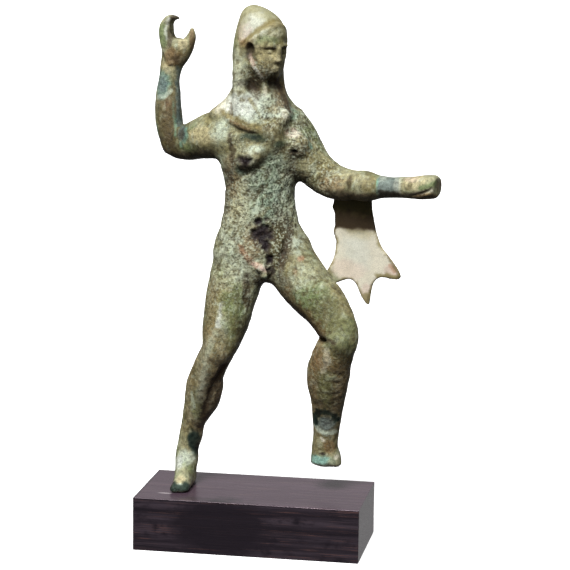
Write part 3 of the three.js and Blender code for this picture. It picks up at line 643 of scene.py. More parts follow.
lionSkin = {
    "joins": {
        "hood": (60, 0.5),
        "browBand": (20, 1.8),
        "brim": (16, 0.9),
        "rightLappet": (40, 0.9),
        "leftLappet": (40, 0.9),
        "collar": (60, 0.9),
        "mantle": (60, 0.3),
        "edge": (24, 0.6),
        "cheekEdge": (12, 0.5),
        "folds": (16, 0.7),
    },
    "hood": [
        [15.0, 2.0, 74.6, 7.0, 2.2, 3.4, 28],
        [14.8, 2.0, 76.6, 9.4, 3.0, 5.2, 28],
        [14.6, 2.0, 78.4, 9.9, 3.2, 5.6, 28],
        [14.5, 2.0, 79.7, 8.3, 2.9, 5.3, 30],
        [14.8, 1.9, 81.2, 6.9, 2.3, 5.2, 34],
        [15.1, 1.8, 83.0, 5.95, 1.6, 5.3, 38],
        [15.3, 1.6, 84.9, 5.6, 1.3, 5.6, 42],
        [15.4, 1.3, 87.4, 5.5, 1.1, 6.0, 46],
        [15.4, 1.1, 89.8, 5.45, 1.1, 6.3, 48],
        [15.5, 0.9, 92.2, 5.35, 1.9, 6.2, 48],
        [15.5, 0.8, 94.0, 5.1, 3.3, 5.7, 48],
        [15.45, 0.8, 95.6, 4.8, 4.5, 5.1, 48],
        [15.2, 0.8, 97.1, 4.2, 4.4, 4.4, 48],
        [14.8, 0.8, 98.3, 3.4, 3.5, 3.4, 48],
        [14.4, 0.9, 99.2, 2.4, 2.3, 2.4, 48],
        [14.1, 0.9, 99.75, 1.2, 1.1, 1.4, 48],
        [14.0, 0.9, 100.0, 0.3, 0.3, 0.3, 48],
    ],
    "rightLappet": [
        [12.7, -1.7, 94.6, 0.3, 0.3, 0.3, 20],
        [12.5, -1.9, 92.8, 0.9, 0.9, 0.9, 20],
        [12.3, -2.0, 90.8, 1.4, 1.4, 1.4, 20],
        [12.1, -2.1, 87.8, 1.7, 1.6, 1.6, 20],
        [12.1, -2.2, 84.8, 1.8, 1.6, 1.6, 20],
        [12.4, -2.5, 82.0, 2.1, 1.6, 1.6, 20],
        [13.2, -3.0, 79.4, 2.6, 1.6, 1.6, 20],
        [14.4, -3.8, 77.4, 2.7, 1.4, 1.4, 20],
        [15.6, -4.4, 76.0, 1.6, 1.0, 1.0, 20],
    ],
    "leftLappet": [
        [18.0, 4.0, 91.0, 0.9, 0.9, 0.9, 60],
        [18.0, 3.4, 88.4, 1.4, 1.4, 1.4, 60],
        [18.2, 2.6, 85.4, 1.6, 1.5, 1.5, 55],
        [18.8, 1.6, 82.4, 1.7, 1.5, 1.5, 50],
        [19.7, 0.2, 79.8, 1.8, 1.5, 1.5, 45],
        [20.3, -1.6, 77.8, 1.6, 1.3, 1.3, 40],
        [20.2, -2.6, 76.4, 0.9, 0.9, 0.9, 40],
    ],
    "mantle": [  # the chest's own form, a little proud
        [15.9, 1.3, 66.0, 7.6, 4.2, 4.8, 25],
        [16.0, 1.3, 68.6, 8.9, 5.7, 5.8, 25],
        [16.4, 1.2, 71.6, 9.2, 6.0, 6.4, 26],
        [16.4, 1.2, 74.5, 9.2, 5.8, 6.4, 26],
        [15.8, 1.3, 77.0, 8.1, 5.3, 5.9, 26],
        [15.5, 1.4, 79.2, 6.5, 4.6, 5.3, 28],
        [15.5, 1.4, 81.4, 5.3, 3.6, 4.9, 30],
    ],
    "collar": [  # closes the mantle over the chest, up to the throat
        [16.0, 1.0, 74.0, 7.0, 4.8, 4.5, 26],
        [15.8, 0.9, 76.5, 6.8, 4.9, 4.5, 27],
        [15.6, 0.8, 78.6, 6.2, 4.7, 4.5, 29],
        [15.6, 0.7, 80.4, 5.3, 4.1, 4.5, 31],
        [15.6, 0.6, 82.0, 4.5, 3.3, 4.4, 34],
        [15.6, 0.5, 83.0, 3.6, 2.4, 4.0, 34],
    ],
    "lumps": [  # the knotted paw, and the chest under it
        roundMass((18.6, -3.7, 75.4), (2.2, 1.0, 1.0), 1.2, turn=26, lean=-18),
        roundMass((18.2, -3.0, 73.4), (2.6, 1.8, 2.6), 1.8, turn=26),
    ],
    "hem": [  # across the chest from its middle, and height: what is cut away below the V
        (-14, 60), (-14, 80), (-7.0, 77.8), (-3.0, 76.2), (0.0, 75.4),
        (2.0, 76.2), (4.4, 77.8), (5.6, 84), (14, 84), (14, 60),
    ],
    # The hem's height in the middle of the back, and its rise with the square of the distance across.
    "backHem": (67.6, 0.022),
    "chestAt": (16.4, 1.2),
    "chestTurn": 26,
    "edge": [  # the rolled edge, from the right shoulder over the chest to the knotted paw
        [6.4, 3.6, 77.0, 0.5], [6.7, 0.6, 77.9, 0.7], [8.2, -2.0, 78.2, 0.65], [10.3, -3.8, 77.2, 0.6],
        [12.4, -4.7, 76.3, 0.55], [14.5, -4.9, 75.7, 0.5], [16.4, -4.7, 75.5, 0.5],
        [18.2, -4.1, 75.9, 0.5], [19.8, -3.3, 76.8, 0.8], [20.9, -1.8, 78.2, 1.2, 1.1, 1.1, 0],
        [21.0, 0.2, 78.3, 0.9], [20.6, 2.4, 77.9, 0.6],
    ],
    "brim": [  # a low roll from the right ear slanting up over the brow and down to the left ear
        [13.0, -2.6, 90.2, 0.2], [13.3, -3.2, 91.8, 0.35], [14.3, -3.9, 93.1, 0.5],
        [15.7, -4.3, 94.2, 0.55], [17.1, -4.2, 95.2, 0.55], [18.5, -3.5, 96.0, 0.5],
        [19.6, -2.2, 96.2, 0.45], [20.2, -0.4, 95.6, 0.4], [20.1, 1.4, 94.2, 0.35],
        [19.6, 2.9, 92.2, 0.2],
    ],
    "browBand": [  # the broad roll between the brim and the eyes
        [13.7, -2.8, 90.8, 0.3], [14.6, -3.3, 92.1, 0.8], [15.9, -3.6, 93.0, 0.9],
        [17.4, -3.4, 93.9, 1.0], [18.8, -2.5, 94.6, 1.0], [19.7, -0.9, 94.5, 0.9],
        [19.9, 1.0, 93.4, 0.7], [20.0, 2.4, 91.6, 0.3],
    ],
    "cheekEdge": [  # the broken edge that runs from the ear hollow to the chin
        [13.5, -3.0, 91.0, 0.3], [14.2, -3.7, 89.6, 0.42], [14.8, -3.9, 88.0, 0.42],
        [15.5, -3.6, 86.9, 0.4], [16.3, -3.1, 85.8, 0.25],
    ],
    "hollows": [  # beside the ear, and under the chin to either side of the throat
        roundMass((14.0, -4.1, 90.9), (0.9, 1.1, 1.7), 0.8, turn=30, lean=16, cut=True),
        roundMass((14.7, -3.6, 83.9), (1.8, 1.4, 1.1), 1.2, turn=20, lean=38, cut=True),
        roundMass((18.6, -2.1, 84.4), (1.1, 1.3, 1.6), 1.2, turn=40, lean=-24, cut=True),
    ],
    "folds": [  # soft creases of the mantle, and the groin
        [[13.9, -4.4, 82.0, 0.3], [14.8, -4.4, 80.4, 0.5], [15.9, -4.6, 78.6, 0.5], [16.9, -4.7, 77.2, 0.3]],
        [[19.6, 0.2, 85.6, 0.3], [20.4, -0.2, 83.2, 0.45], [21.2, -0.6, 80.8, 0.45], [21.6, -0.8, 79.4, 0.3]],
        [[20.6, 2.2, 85.0, 0.3], [21.3, 2.4, 82.8, 0.45], [22.2, 2.6, 80.2, 0.3]],
        [[23.0, -0.9, 56.4, 0.3], [21.6, -2.6, 51.8, 0.7], [20.9, -3.7, 48.6, 0.7], [20.4, -4.2, 46.0, 0.4]],
        [[11.2, 5.4, 88.0, 0.3], [11.0, 6.2, 84.0, 0.5], [10.4, 6.8, 79.5, 0.3]],
        [[16.0, 7.4, 88.0, 0.3], [16.2, 7.4, 84.0, 0.5], [16.6, 7.4, 78.0, 0.3]],
    ],
}

hangingSkin = {
    "straight": [
        (38.5, 64.6), (30.3, 64.6), (30.3, 60.4), (29.9, 59.4), (30.5, 58.0), (30.5, 55.4), (30.2, 54.3),
    ],
    "leftRun": [(30.8, 52.2), (30.5, 49.6), (29.6, 47.2), (27.8, 44.6), (26.7, 42.6)],
    "lowRun": [
        (26.7, 42.6), (28.4, 42.2), (30.5, 43.2), (32.2, 44.0), (33.9, 44.4), (35.1, 43.4), (36.1, 41.0),
        (37.1, 39.4),
    ],
    "scallop": [
        (37.1, 39.4), (37.9, 39.4), (38.3, 42.0), (38.9, 44.1), (40.2, 45.2), (42.2, 45.1), (43.9, 45.1),
    ],
    "rightRun": [
        (43.9, 45.1), (44.5, 45.7), (43.7, 47.5), (42.0, 49.8), (40.5, 51.6), (39.5, 54.0), (38.9, 56.8),
        (38.4, 60.2), (38.5, 64.6),
    ],
    "perSpan": 4,  # points of the outline between two places of a run
    "thick": 0.82,
    "round": 0.2,  # radius of its edges
    "depths": (-1.0, 8.0),  # it lies between these, from front to back
    "plane": {"x": 37, "z": 62, "y": 2.1, "perX": -0.2, "perZ": -0.12},
    "fold": {"x": 35, "z": 50, "lean": 0.12, "high": 0.09, "wide": 4.2},
    "soft": 0.4,
    "box": ((36.5, 3.2, 46), (11, 3, 11)),  # middle and half sizes of where its rim is worn
}

head = {
    "at": np.array([15.8, 0.3, 90.0]),
    "axes": turned("Z", 48) @ turned("X", 8),
    "masses": [
        roundMass((0, -0.6, 1.0), (4.3, 4.6, 6.0), 0.6),  # skull and cheeks
        roundMass((0, -1.3, -1.8), (3.5, 3.5, 3.5), 1.2),  # jaw
        *mirrored((1.6, -4.3, 2.7), (1.5, 0.7, 0.4), 0.5, 20),  # brows
        *mirrored((1.7, -4.9, 1.7), (1.1, 0.8, 0.8), 0.5, 20, cut=True),  # sockets
        *mirrored((1.65, -4.0, 1.6), (0.85, 0.7, 0.5), 0.2, 20),  # eyes
        roundMass((0, -5.1, 1.3), (0.55, 0.8, 1.8), 0.4),  # bridge of the nose
        roundMass((0, -5.35, 0.1), (0.8, 0.85, 0.6), 0.4),  # its tip
        roundMass((0, -4.75, -1.55), (1.2, 0.6, 0.35), 0.3),  # lips
        roundMass((0, -4.65, -2.25), (1.0, 0.6, 0.35), 0.3),
        roundMass((0, -4.2, -3.9), (1.3, 0.9, 0.9), 0.7),  # chin
    ],
}

leftHand = {
    "joins": {"creases": (12, 0.4)},
    "creases": [  # round the fist: where the fingers close on the palm, and between them
        [[47.2, -7.4, 63.6, 0.15], [48.8, -8.4, 64.0, 0.22], [50.8, -9.3, 64.8, 0.26],
         [52.4, -9.8, 66.0, 0.24], [53.2, -9.2, 67.4, 0.15]],
        [[48.4, -7.8, 62.8, 0.15], [50.6, -8.8, 63.2, 0.2], [52.6, -9.4, 64.2, 0.2]],
        [[53.6, -8.4, 66.4, 0.2], [53.8, -7.4, 64.9, 0.25], [53.4, -6.6, 63.4, 0.2]],
        [[50.0, -7.4, 62.3, 0.2], [50.4, -6.4, 62.2, 0.25], [50.6, -5.0, 62.5, 0.2]],
    ],
}

rightHand = {
    "joins": {"finger": (20, 0.22), "thumb": (24, 0.5)},
    "finger": [  # seen along the row of fingers: x, height and half thickness
        (-3.7, 87.4, 0.6), (-4.1, 89.4, 1.2), (-4.7, 91.8, 1.45), (-5.15, 93.9, 1.18), (-5.1, 95.15, 1.1),
        (-4.8, 96.15, 0.82), (-4.2, 96.85, 0.62), (-3.5, 97.1, 0.48), (-2.85, 96.95, 0.28),
    ],
    "count": 4,
    "width": 1.25,
    "middle": 5.9,
    "step": 0.12,
    "lap": 0.06,  # share by which the fingers run into one another
    "thumb": [
        [-1.5, 5.5, 90.2, 1.2, 1.4, 1.4, 0],
        [-0.6, 5.3, 91.6, 1.3, 1.4, 1.4, 0],
        [0.1, 5.1, 92.8, 1.1, 1.2, 1.2, 0],
        [0.35, 4.9, 93.8, 0.75, 1.0, 1.0, 0],
        [0.4, 4.8, 94.9, 0.3, 0.4, 0.4, 0],
    ],
}


def fingerForms(spec):
    # The same bent finger side by side, each a little lower than the one before.
    widest = (0.5 + spec["lap"]) * spec["width"]
    for i in range(spec["count"]):
        back = spec["middle"] + (i - (spec["count"] - 1) / 2) * spec["width"]
        stations = [
            [x, back, z - spec["step"] * i, thick, min(widest, thick), min(widest, thick), 0]
            for x, z, thick in spec["finger"]
        ]
        yield sweptForm(stations, spec["joins"]["finger"][0])


def outlineDistance(corners, u, v):
    # Signed distance in a plane: to the nearest side of a closed outline, negative inside it.
    corners = np.asarray(corners, float)
    nearest = np.full(u.shape, np.inf)
    inside = np.zeros(u.shape, bool)
    for (ax, ay), (bx, by) in zip(corners, np.roll(corners, -1, axis=0)):
        dx, dy = bx - ax, by - ay
        t = np.clip(((u - ax) * dx + (v - ay) * dy) / (dx * dx + dy * dy + 1e-12), 0, 1)
        nearest = np.minimum(nearest, (u - ax - t * dx) ** 2 + (v - ay - t * dy) ** 2)
        crosses = (ay > v) != (by > v)
        inside ^= crosses & (u < dx * (v - ay) / (dy if dy else 1e-12) + ax)
    return np.where(inside, -1, 1) * np.sqrt(nearest)


def addMantle(clay, spec):
    # The form, less what lies under the hem on the chest and under the one on the back.
    around, soft = spec["joins"]["mantle"]
    form = sweptForm(spec["mantle"], around)
    start, stop = clay.window(form[0].min(0), form[0].max(0))
    distance = clay.formDistance(form, start, stop)
    places = clay.places(start, stop)
    angle = math.radians(spec["chestTurn"])
    x, y = places[..., 0] - spec["chestAt"][0], places[..., 1] - spec["chestAt"][1]
    across = x * math.cos(angle) + y * math.sin(angle)
    behind = y * math.cos(angle) - x * math.sin(angle)
    cut = np.maximum(outlineDistance(spec["hem"], across, places[..., 2]), behind)
    middle, rise = spec["backHem"]
    below = np.maximum(places[..., 2] - middle - rise * across**2, -behind)
    clay.put(np.maximum.reduce([distance, -cut, -below]).astype(np.float32), start, stop, soft)


def skinOutline(spec):
    runs = [np.array(spec["straight"], float)]
    for name in ("leftRun", "lowRun", "scallop", "rightRun"):
        spans = len(spec[name]) - 1
        places = np.linspace(0, spans, spec["perSpan"] * spans + 1)
        runs.append(splineThrough(spec[name], places)[:-1])
    return np.vstack(runs)


def addHangingSkin(clay, spec):
    # A sheet of even thickness inside the outline: its middle lies aslant, plus folds that run down it.
    outline = skinOutline(spec)
    front, back = spec["depths"]
    low = np.array([outline[:, 0].min(), front, outline[:, 1].min()])
    high = np.array([outline[:, 0].max(), back, outline[:, 1].max()])
    start, stop = clay.window(low, high)
    places = clay.places(start, stop)
    x, y, z = places[..., 0], places[..., 1], places[..., 2]
    flat = places[:, 0]
    side = outlineDistance(outline, flat[..., 0], flat[..., 2])[:, None, :]
    plane, fold, rounding = spec["plane"], spec["fold"], spec["round"]
    sheet = plane["y"] + (x - plane["x"]) * plane["perX"] + (z - plane["z"]) * plane["perZ"]
    phase = (x - fold["x"] + (z - fold["z"]) * fold["lean"]) * 2 * math.pi / fold["wide"]
    sheet = sheet + fold["high"] * np.sin(phase)
    deep = np.abs(y - sheet) - spec["thick"] / 2 + rounding
    side = side + rounding
    outside = np.hypot(np.maximum(side, 0), np.maximum(deep, 0))
    distance = outside + np.minimum(np.maximum(side, deep), 0) - rounding
    clay.put(distance.astype(np.float32), start, stop, spec["soft"])


def modelFigure(clay):
    def add(spec, *names, cut=False, level=False):
        # Forms of one dictionary, in that order. What is cut in is a list of such forms.
        for name in names:
            around, soft = spec["joins"][name]
            for stations in spec[name] if cut else [spec[name]]:
                clay.addForm(sweptForm(stations, around, level), soft, cut)

    def addMasses(masses, carrier=None):
        for mass in masses:
            clay.addMass(mass, carrier)

    add(figure, "torso", "rightLeg", "leftLeg", "rightFoot")
    addMasses(figure["muscles"])
    add(figure, "shin")
    add(figure, "grooves", cut=True)
    add(figure, "rightUpperArm", "leftArm", "rightForearm")
    add(rightHand, "thumb")
    for finger in fingerForms(rightHand):
        clay.addForm(finger, rightHand["joins"]["finger"][1])
    add(leftHand, "creases", cut=True)
    add(figure, "neck")
    addMasses(head["masses"], head)
    add(lionSkin, "hood", level=True)
    add(lionSkin, "browBand", "brim", "rightLappet", "leftLappet", "collar")
    addMantle(clay, lionSkin)
    addMasses(lionSkin["lumps"])
    add(lionSkin, "edge", "cheekEdge")
    addMasses(lionSkin["hollows"])
    add(lionSkin, "folds", cut=True)
    addHangingSkin(clay, hangingSkin)
    sole = clay.places((0, 0, 0), clay.shape)[..., 2]
    clay.field = np.maximum(clay.field, -sole)


def polygons(clay):
    grid = vdb.FloatGrid(background=clay.far)
    grid.transform = clay.transform
    grid.gridClass = vdb.GridClass.LEVEL_SET
    grid.copyFromArray(np.ascontiguousarray(clay.field), ijk=tuple(int(n) for n in clay.first), tolerance=0)
    points, _, quads = grid.convertToPolygons(isovalue=0.0, adaptivity=0.0)
    return np.asarray(points, float), np.asarray(quads)


def smoothObject(name, points, faces):
    mesh = bpy.data.meshes.new(name)
    mesh.from_pydata(points.tolist(), [], faces.tolist())
    mesh.polygons.foreach_set("use_smooth", np.ones(len(mesh.polygons), bool))
    return addObject(name, mesh)


patina = {
    "shades": {  # red, green, blue as a screen shows them
        "sage": (146, 146, 112),
        "olive": (126, 114, 70),
        "moss": (104, 120, 74),
        "brown": (118, 92, 58),
        "umber": (58, 46, 32),
        "black": (28, 19, 22),
        "soot": (38, 32, 24),
        "drab": (92, 84, 52),
        "mint": (198, 210, 190),
        "frost": (214, 219, 208),
        "bone": (226, 220, 200),
        "cream": (228, 222, 202),
        "pink": (220, 192, 178),
        "verdigris": (120, 164, 144),
        "ash": (150, 158, 152),
        "slate": (92, 108, 106),
        "teal": (112, 164, 152),
        "deepGreen": (10, 28, 22),
        "copper": (176, 124, 92),
        "buff": (190, 178, 134),
    },
    # A patch: its middle and half sizes in hundredths, its shade, how much of it, and how ragged its edge is.
    "patches": [
        ((16, 0, 60), (11, 10, 18), "mint", 0.45, 0.6),  # torso
        ((18, -3, 64), (4, 5, 8), "verdigris", 0.35, 0.9),
        ((21.5, -2, 64), (2.4, 5, 7), "mint", 0.3, 1.0),
        ((11.5, -2, 61), (3, 5, 7), "buff", 0.40, 0.8),
        ((20.8, -2.5, 53), (2.6, 4, 6), "umber", 0.6, 0.9),
        ((10.6, -3, 66), (1.6, 4, 5), "brown", 0.5, 0.8),
        # painted shade down the flank under the raised arm
        ((9.4, -2.4, 62.5), (1.1, 3, 6), "umber", 0.5, 0.9),
        ((12.0, -5, 50), (5, 4, 7), "mint", 0.35, 0.8),  # right hip and thigh
        ((9.4, -6, 42), (4, 4, 8), "buff", 0.25, 0.9),
        ((11.5, -6, 37), (3.4, 4, 7), "moss", 0.75, 0.8),
        ((13.0, -4, 34), (1.4, 3, 4.4), "umber", 0.5, 0.8),
        ((8.4, -1.6, 21), (1.7, 3, 4.6), "brown", 0.7, 0.6),
        ((34.8, -5, 29), (1.7, 4, 7), "drab", 0.75, 0.7),
        ((29.3, -6.0, 30.0), (1.9, 3, 3.4), "copper", 0.4, 0.9),
        ((32.5, -2.0, 12.0), (3.4, 4, 2.2), "umber", 0.25, 0.9),
        # painted shade under the left forearm
        ((40.5, -3.0, 62.0), (4.4, 4, 3.4), "umber", 0.35, 1.0),
        ((3.6, -3.0, 18.0), (2.2, 3, 3.4), "mint", 0.25, 1.2),
        ((9.6, -6, 35), (1.2, 3, 3.4), "mint", 0.55, 1.1),
        # painted shade in the groove inside the right thigh
        ((14.0, -4.5, 42.0), (0.8, 2, 4.4), "umber", 0.7, 0.7),
        ((24, -4, 46), (5, 4, 3), "mint", 0.25, 0.8),  # left thigh
        ((22.0, -2, 43), (2.4, 4, 4), "umber", 0.45, 0.9),
        ((28, -6, 40), (5, 5, 5), "moss", 0.75, 0.8),
        ((33.5, -8, 35), (3.4, 4, 5), "moss", 0.55, 0.8),
        ((7, -2.5, 24), (9, 9, 18), "brown", 0.45, 0.6),  # lower legs
        ((30.5, -2.5, 22), (7, 8, 13), "brown", 0.65, 0.6),
        ((30.6, -5, 23), (2.0, 3, 6), "moss", 0.5, 1.0),
        ((5.6, -4, 25), (2.0, 3, 7), "mint", 0.3, 1.1),
        ((3.8, -3, 17), (1.6, 3, 4), "moss", 0.4, 0.9),
        ((29.8, -1, 10), (4, 4, 2.2), "olive", 0.6, 0.8),
        ((-3, 4, 76), (5, 6, 9), "drab", 0.85, 0.6),  # right forearm
        ((-4.4, 3.5, 77.6), (2.0, 3, 4.8), "brown", 0.35, 0.9),
        ((-4.0, 3.5, 77.0), (3.0, 3, 5.0), "umber", 0.25, 0.9),
        ((-4.6, 3.5, 79.4), (1.2, 3, 1.4), "copper", 0.25, 0.9),
        ((-4.4, 3.4, 87.0), (1.6, 3, 1.6), "buff", 0.75, 0.7),
        ((-3.2, 3.2, 89.0), (2.4, 3, 2.0), "brown", 0.8, 0.7),
        ((-1.3, 3.5, 91.6), (1.1, 3, 1.7), "buff", 0.85, 0.6),
        ((-4.6, 3.6, 71.2), (3.4, 4, 2.6), "umber", 0.6, 0.7),  # right elbow and upper arm
        ((0.2, -0.6, 70.6), (3.2, 3, 1.2), "moss", 0.6, 0.8),
        ((4.0, -2.5, 73.8), (4.0, 4, 2.2), "buff", 0.8, 0.5),
        ((8.4, -4, 75.2), (2.4, 2, 2.8), "mint", 0.8, 0.9),
        ((6.0, -2.5, 71.2), (6, 4, 1.2), "drab", 0.4, 0.6),
        ((34, -2.0, 66.4), (4, 4, 1.4), "buff", 0.4, 0.9),  # left arm
        ((27, -1, 68), (5, 5, 5), "olive", 0.4, 0.8),
        ((30.5, -2, 64.6), (3.0, 3, 1.6), "copper", 0.3, 0.9),
        # painted shade under the left forearm
        ((35, -1.5, 62.0), (7, 4, 1.5), "umber", 0.75, 0.7),
        ((38.6, -3.5, 65.2), (1.6, 3, 2.2), "olive", 0.6, 0.6),
        ((34.3, -3, 65.2), (0.6, 3, 1.4), "umber", 0.6, 0.8),
        ((48.0, -8, 66.4), (3.4, 3, 1.8), "buff", 0.7, 0.6),
        ((47.0, -8, 66.9), (2.0, 3, 0.6), "pink", 0.4, 0.7),
        ((53.0, -8.4, 66.0), (0.7, 3, 2.0), "umber", 0.7, 0.5),
        ((36.5, 3.2, 50), (11, 3, 11), "cream", 0.95, 0.1),  # hanging skin
        ((36.4, 3.2, 54.4), (3.2, 2, 1.6), "buff", 0.5, 0.8),
        # painted shade: the soft lower edge of the arm's shadow on the skin
        ((33.6, 2.2, 54.8), (3.6, 1.4, 1.0), "drab", 0.5, 0.8),
        ((35.2, 3.4, 50.4), (3.6, 2, 3.6), "frost", 0.55, 0.9),
        ((43.0, 2.2, 46.4), (2.6, 2, 1.8), "pink", 0.6, 0.6),
        ((37.3, 4, 41.5), (1.6, 2, 2.5), "pink", 0.5, 0.6),
        ((33.0, 4, 46.5), (4.0, 2, 2.5), "pink", 0.35, 0.6),
        ((15.4, -1.0, 79.8), (7.6, 8, 3.6), "mint", 0.9, 0.4),  # mantle
        ((12.0, -3.6, 80.0), (4.4, 3, 3.0), "frost", 0.8, 0.7),
        ((8.8, -1.8, 80.4), (2.8, 3.4, 2.2), "bone", 0.6, 0.8),
        ((10.3, -2.4, 80.6), (1.8, 2.4, 2.4), "frost", 0.6, 0.8),
        ((18.6, -3.0, 81.2), (1.6, 1.8, 2.6), "sage", 0.45, 0.9),
        ((18.9, -3.0, 79.6), (1.0, 1.8, 1.2), "brown", 0.4, 0.9),
        ((18.8, -4.6, 75.1), (3.2, 2.4, 1.9), "drab", 0.6, 0.7),
        ((21.2, -1.8, 78.2), (1.3, 2, 1.6), "bone", 0.7, 0.6),
        ((21.9, 0.6, 78.6), (1.6, 3, 1.8), "verdigris", 0.5, 0.6),
        # the top of the left breast: pink, with a painted highlight over it
        ((22.5, -1.4, 74.7), (1.9, 2, 1.0), "pink", 0.65, 0.7),
        ((22.8, -1.2, 74.5), (1.5, 2, 0.8), "bone", 0.7, 0.7),
        ((20.2, 0.5, 82.6), (2.2, 4, 4.0), "brown", 0.6, 0.5),  # neck and hood
        ((11.5, -2, 87.0), (2.6, 5, 5), "mint", 0.55, 0.8),
        ((14.6, -1.0, 95.6), (6.4, 7, 5.4), "buff", 0.5, 0.35),
        ((15.6, -2.0, 98.4), (4.4, 5, 2.2), "sage", 0.55, 0.9),
        ((14.4, -3.0, 95.6), (2.6, 3.0, 3.2), "frost", 0.7, 1.0),
        ((13.4, -3.0, 94.2), (1.8, 2.0, 1.6), "frost", 0.4, 0.9),
        ((12.9, -2.8, 94.4), (1.8, 2.5, 2.2), "pink", 0.45, 0.9),
        ((12.8, -2.6, 92.6), (1.4, 2.0, 1.0), "copper", 0.4, 0.8),
        ((19.4, -2.6, 96.6), (1.8, 2.4, 1.3), "olive", 0.7, 0.8),
        ((18.0, -4.0, 94.4), (3.4, 3.0, 1.4), "mint", 0.35, 0.7),
        ((17.6, -4.0, 93.2), (3.2, 3.0, 1.0), "moss", 0.55, 0.7),
        # painted light: the face made paler where the hood shades it
        ((17.4, -4.0, 89.0), (3.4, 3.6, 4.0), "buff", 0.6, 0.7),
        ((15.8, -6.2, 71.8), (2.4, 1.6, 1.1), "mint", 0.8, 0.7),
        ((17.6, -5.6, 47.6), (1.7, 1.6, 0.8), "pink", 0.8, 0.6),  # groin
        ((23.8, -1.4, 51.8), (1.3, 3, 3.0), "mint", 0.7, 0.8),
        ((29.9, -2, 14), (4, 5, 5), "olive", 0.5, 0.6),
        ((30.0, -1, 11), (4, 5, 6), "drab", 0.45, 0.7),
        ((30.0, -6, 38), (4, 4, 5), "drab", 0.6, 0.8),
    ],
    # The same, laid over the speckling: marks with firmer colours.
    "marks": [
        ((30.2, -2, 15.3), (2.2, 3.6, 2.0), "slate", 0.9, 0.6),  # left shin and stub
        ((30.4, -2, 15.2), (1.6, 3.6, 1.2), "ash", 0.35, 1.4),
        ((28.8, -0.6, 10.9), (0.9, 2, 1.2), "mint", 0.35, 1.0),
        ((30.9, -0.6, 10.2), (1.4, 2, 1.8), "brown", 0.7, 0.7),
        ((29.4, -1, 8.6), (0.9, 2, 0.5), "soot", 0.95, 0.6),
        ((29.2, 0, 6.8), (3.0, 5, 1.5), "teal", 0.9, 0.6),
        ((32.2, 0, 7.0), (1.4, 5, 1.8), "sage", 0.8, 0.8),
        ((32.4, 0, 7.9), (0.6, 3, 0.5), "bone", 0.8, 0.8),
        ((29.9, 0, 5.0), (6, 6, 1.5), "soot", 0.8, 0.4),
        ((2.2, 0.2, 9.8), (1.4, 2.8, 2.6), "deepGreen", 0.97, 0.5),  # right ankle and foot
        ((2.6, 0.6, 7.4), (1.0, 2.8, 1.8), "deepGreen", 0.85, 0.6),
        ((0.4, -0.6, 6.0), (2.6, 3.5, 1.8), "mint", 0.85, 0.8),
        ((-1.2, -0.4, 5.0), (1.2, 2.6, 1.8), "frost", 0.85, 0.8),
        ((0.8, -2.6, 3.4), (2.6, 2.6, 1.4), "sage", 0.7, 0.8),
        # dark green toes, darkened further as painted shade
        ((0.4, -5.2, 0.4), (3.4, 3.6, 2.4), "deepGreen", 0.97, 0.4),
        ((-2.0, -3.0, 1.0), (1.0, 3.0, 1.6), "soot", 0.8, 0.6),
        ((0.2, -3.7, 2.4), (1.3, 1.9, 0.9), "buff", 0.9, 0.6),
        ((0.6, -4.9, 1.9), (0.9, 0.6, 0.4), "mint", 0.8, 0.8),
        ((0.2, -6.2, 1.0), (0.5, 0.8, 0.6), "verdigris", 0.4, 0.9),
        ((-5.6, 4, 83.4), (1.9, 3, 3.0), "verdigris", 0.75, 0.7),
        ((-5.8, 4, 83.4), (1.4, 3, 2.3), "slate", 0.85, 0.8),
        ((-2.6, 3.2, 88.6), (0.9, 3, 1.0), "umber", 0.5, 0.9),
        ((-5.4, 4, 93.4), (1.1, 4, 2.6), "moss", 0.9, 0.6),
        ((-4.0, 3.6, 93.0), (0.6, 3, 2.4), "umber", 0.6, 0.7),
        ((-3.4, 6, 97.0), (1.0, 4, 0.8), "umber", 0.8, 0.5),
        ((0.5, 5, 92.5), (0.6, 4, 2.6), "brown", 0.8, 0.5),
        ((-0.8, 1.8, 73.6), (1.3, 2.6, 2.4), "slate", 0.9, 0.8),
        ((-1.0, 1.6, 73.2), (0.8, 2.6, 1.5), "umber", 0.55, 1.0),
        ((50.4, -8, 63.4), (3.6, 3, 1.3), "brown", 0.9, 0.5),
        # painted shade under the chin, to either side of the throat
        ((14.6, -2.6, 84.3), (2.0, 2.4, 1.5), "soot", 0.85, 1.2),
        ((15.4, -2.6, 82.7), (1.0, 2.0, 1.4), "umber", 0.8, 1.1),
        ((18.4, -1.2, 84.4), (1.4, 2.4, 2.0), "soot", 0.8, 1.1),
        ((17.0, -2.6, 83.2), (0.45, 1.4, 1.6), "bone", 0.5, 0.8),
        # painted shade in the hollow beside the ear
        ((14.1, -3.8, 91.0), (1.1, 1.8, 1.7), "soot", 0.65, 1.0),
        ((13.0, -4.8, 67.4), (1.8, 1.6, 1.1), "deepGreen", 0.75, 0.9),  # hollows of the chest and groin: dark green patina, and painted shade
        ((15.4, -4.9, 74.0), (2.7, 1.8, 0.9), "deepGreen", 0.8, 1.0),
        ((20.0, -3.2, 72.6), (1.6, 1.6, 0.9), "deepGreen", 0.5, 0.7),
        ((18.4, -5, 45.2), (1.6, 2, 0.9), "deepGreen", 0.8, 0.5),
        ((15.2, -4, 52.4), (2.2, 2.4, 3.4), "brown", 0.55, 0.9),  # round the hole in the belly
        ((19.6, -3, 52.2), (2.2, 2.8, 4.4), "drab", 0.85, 0.9),
        ((24.6, -2.4, 49.4), (0.7, 1.5, 0.6), "copper", 0.6, 0.9),  # left thigh
        ((23.8, -3.0, 46.4), (0.5, 1.5, 1.0), "copper", 0.5, 0.9),
        ((37.4, 3.6, 40.7), (1.0, 2, 1.3), "olive", 0.8, 0.6),  # claws of the hanging skin
    ],
    # A line drawn on the surface: the places it runs through, its half width, shade, amount and raggedness.
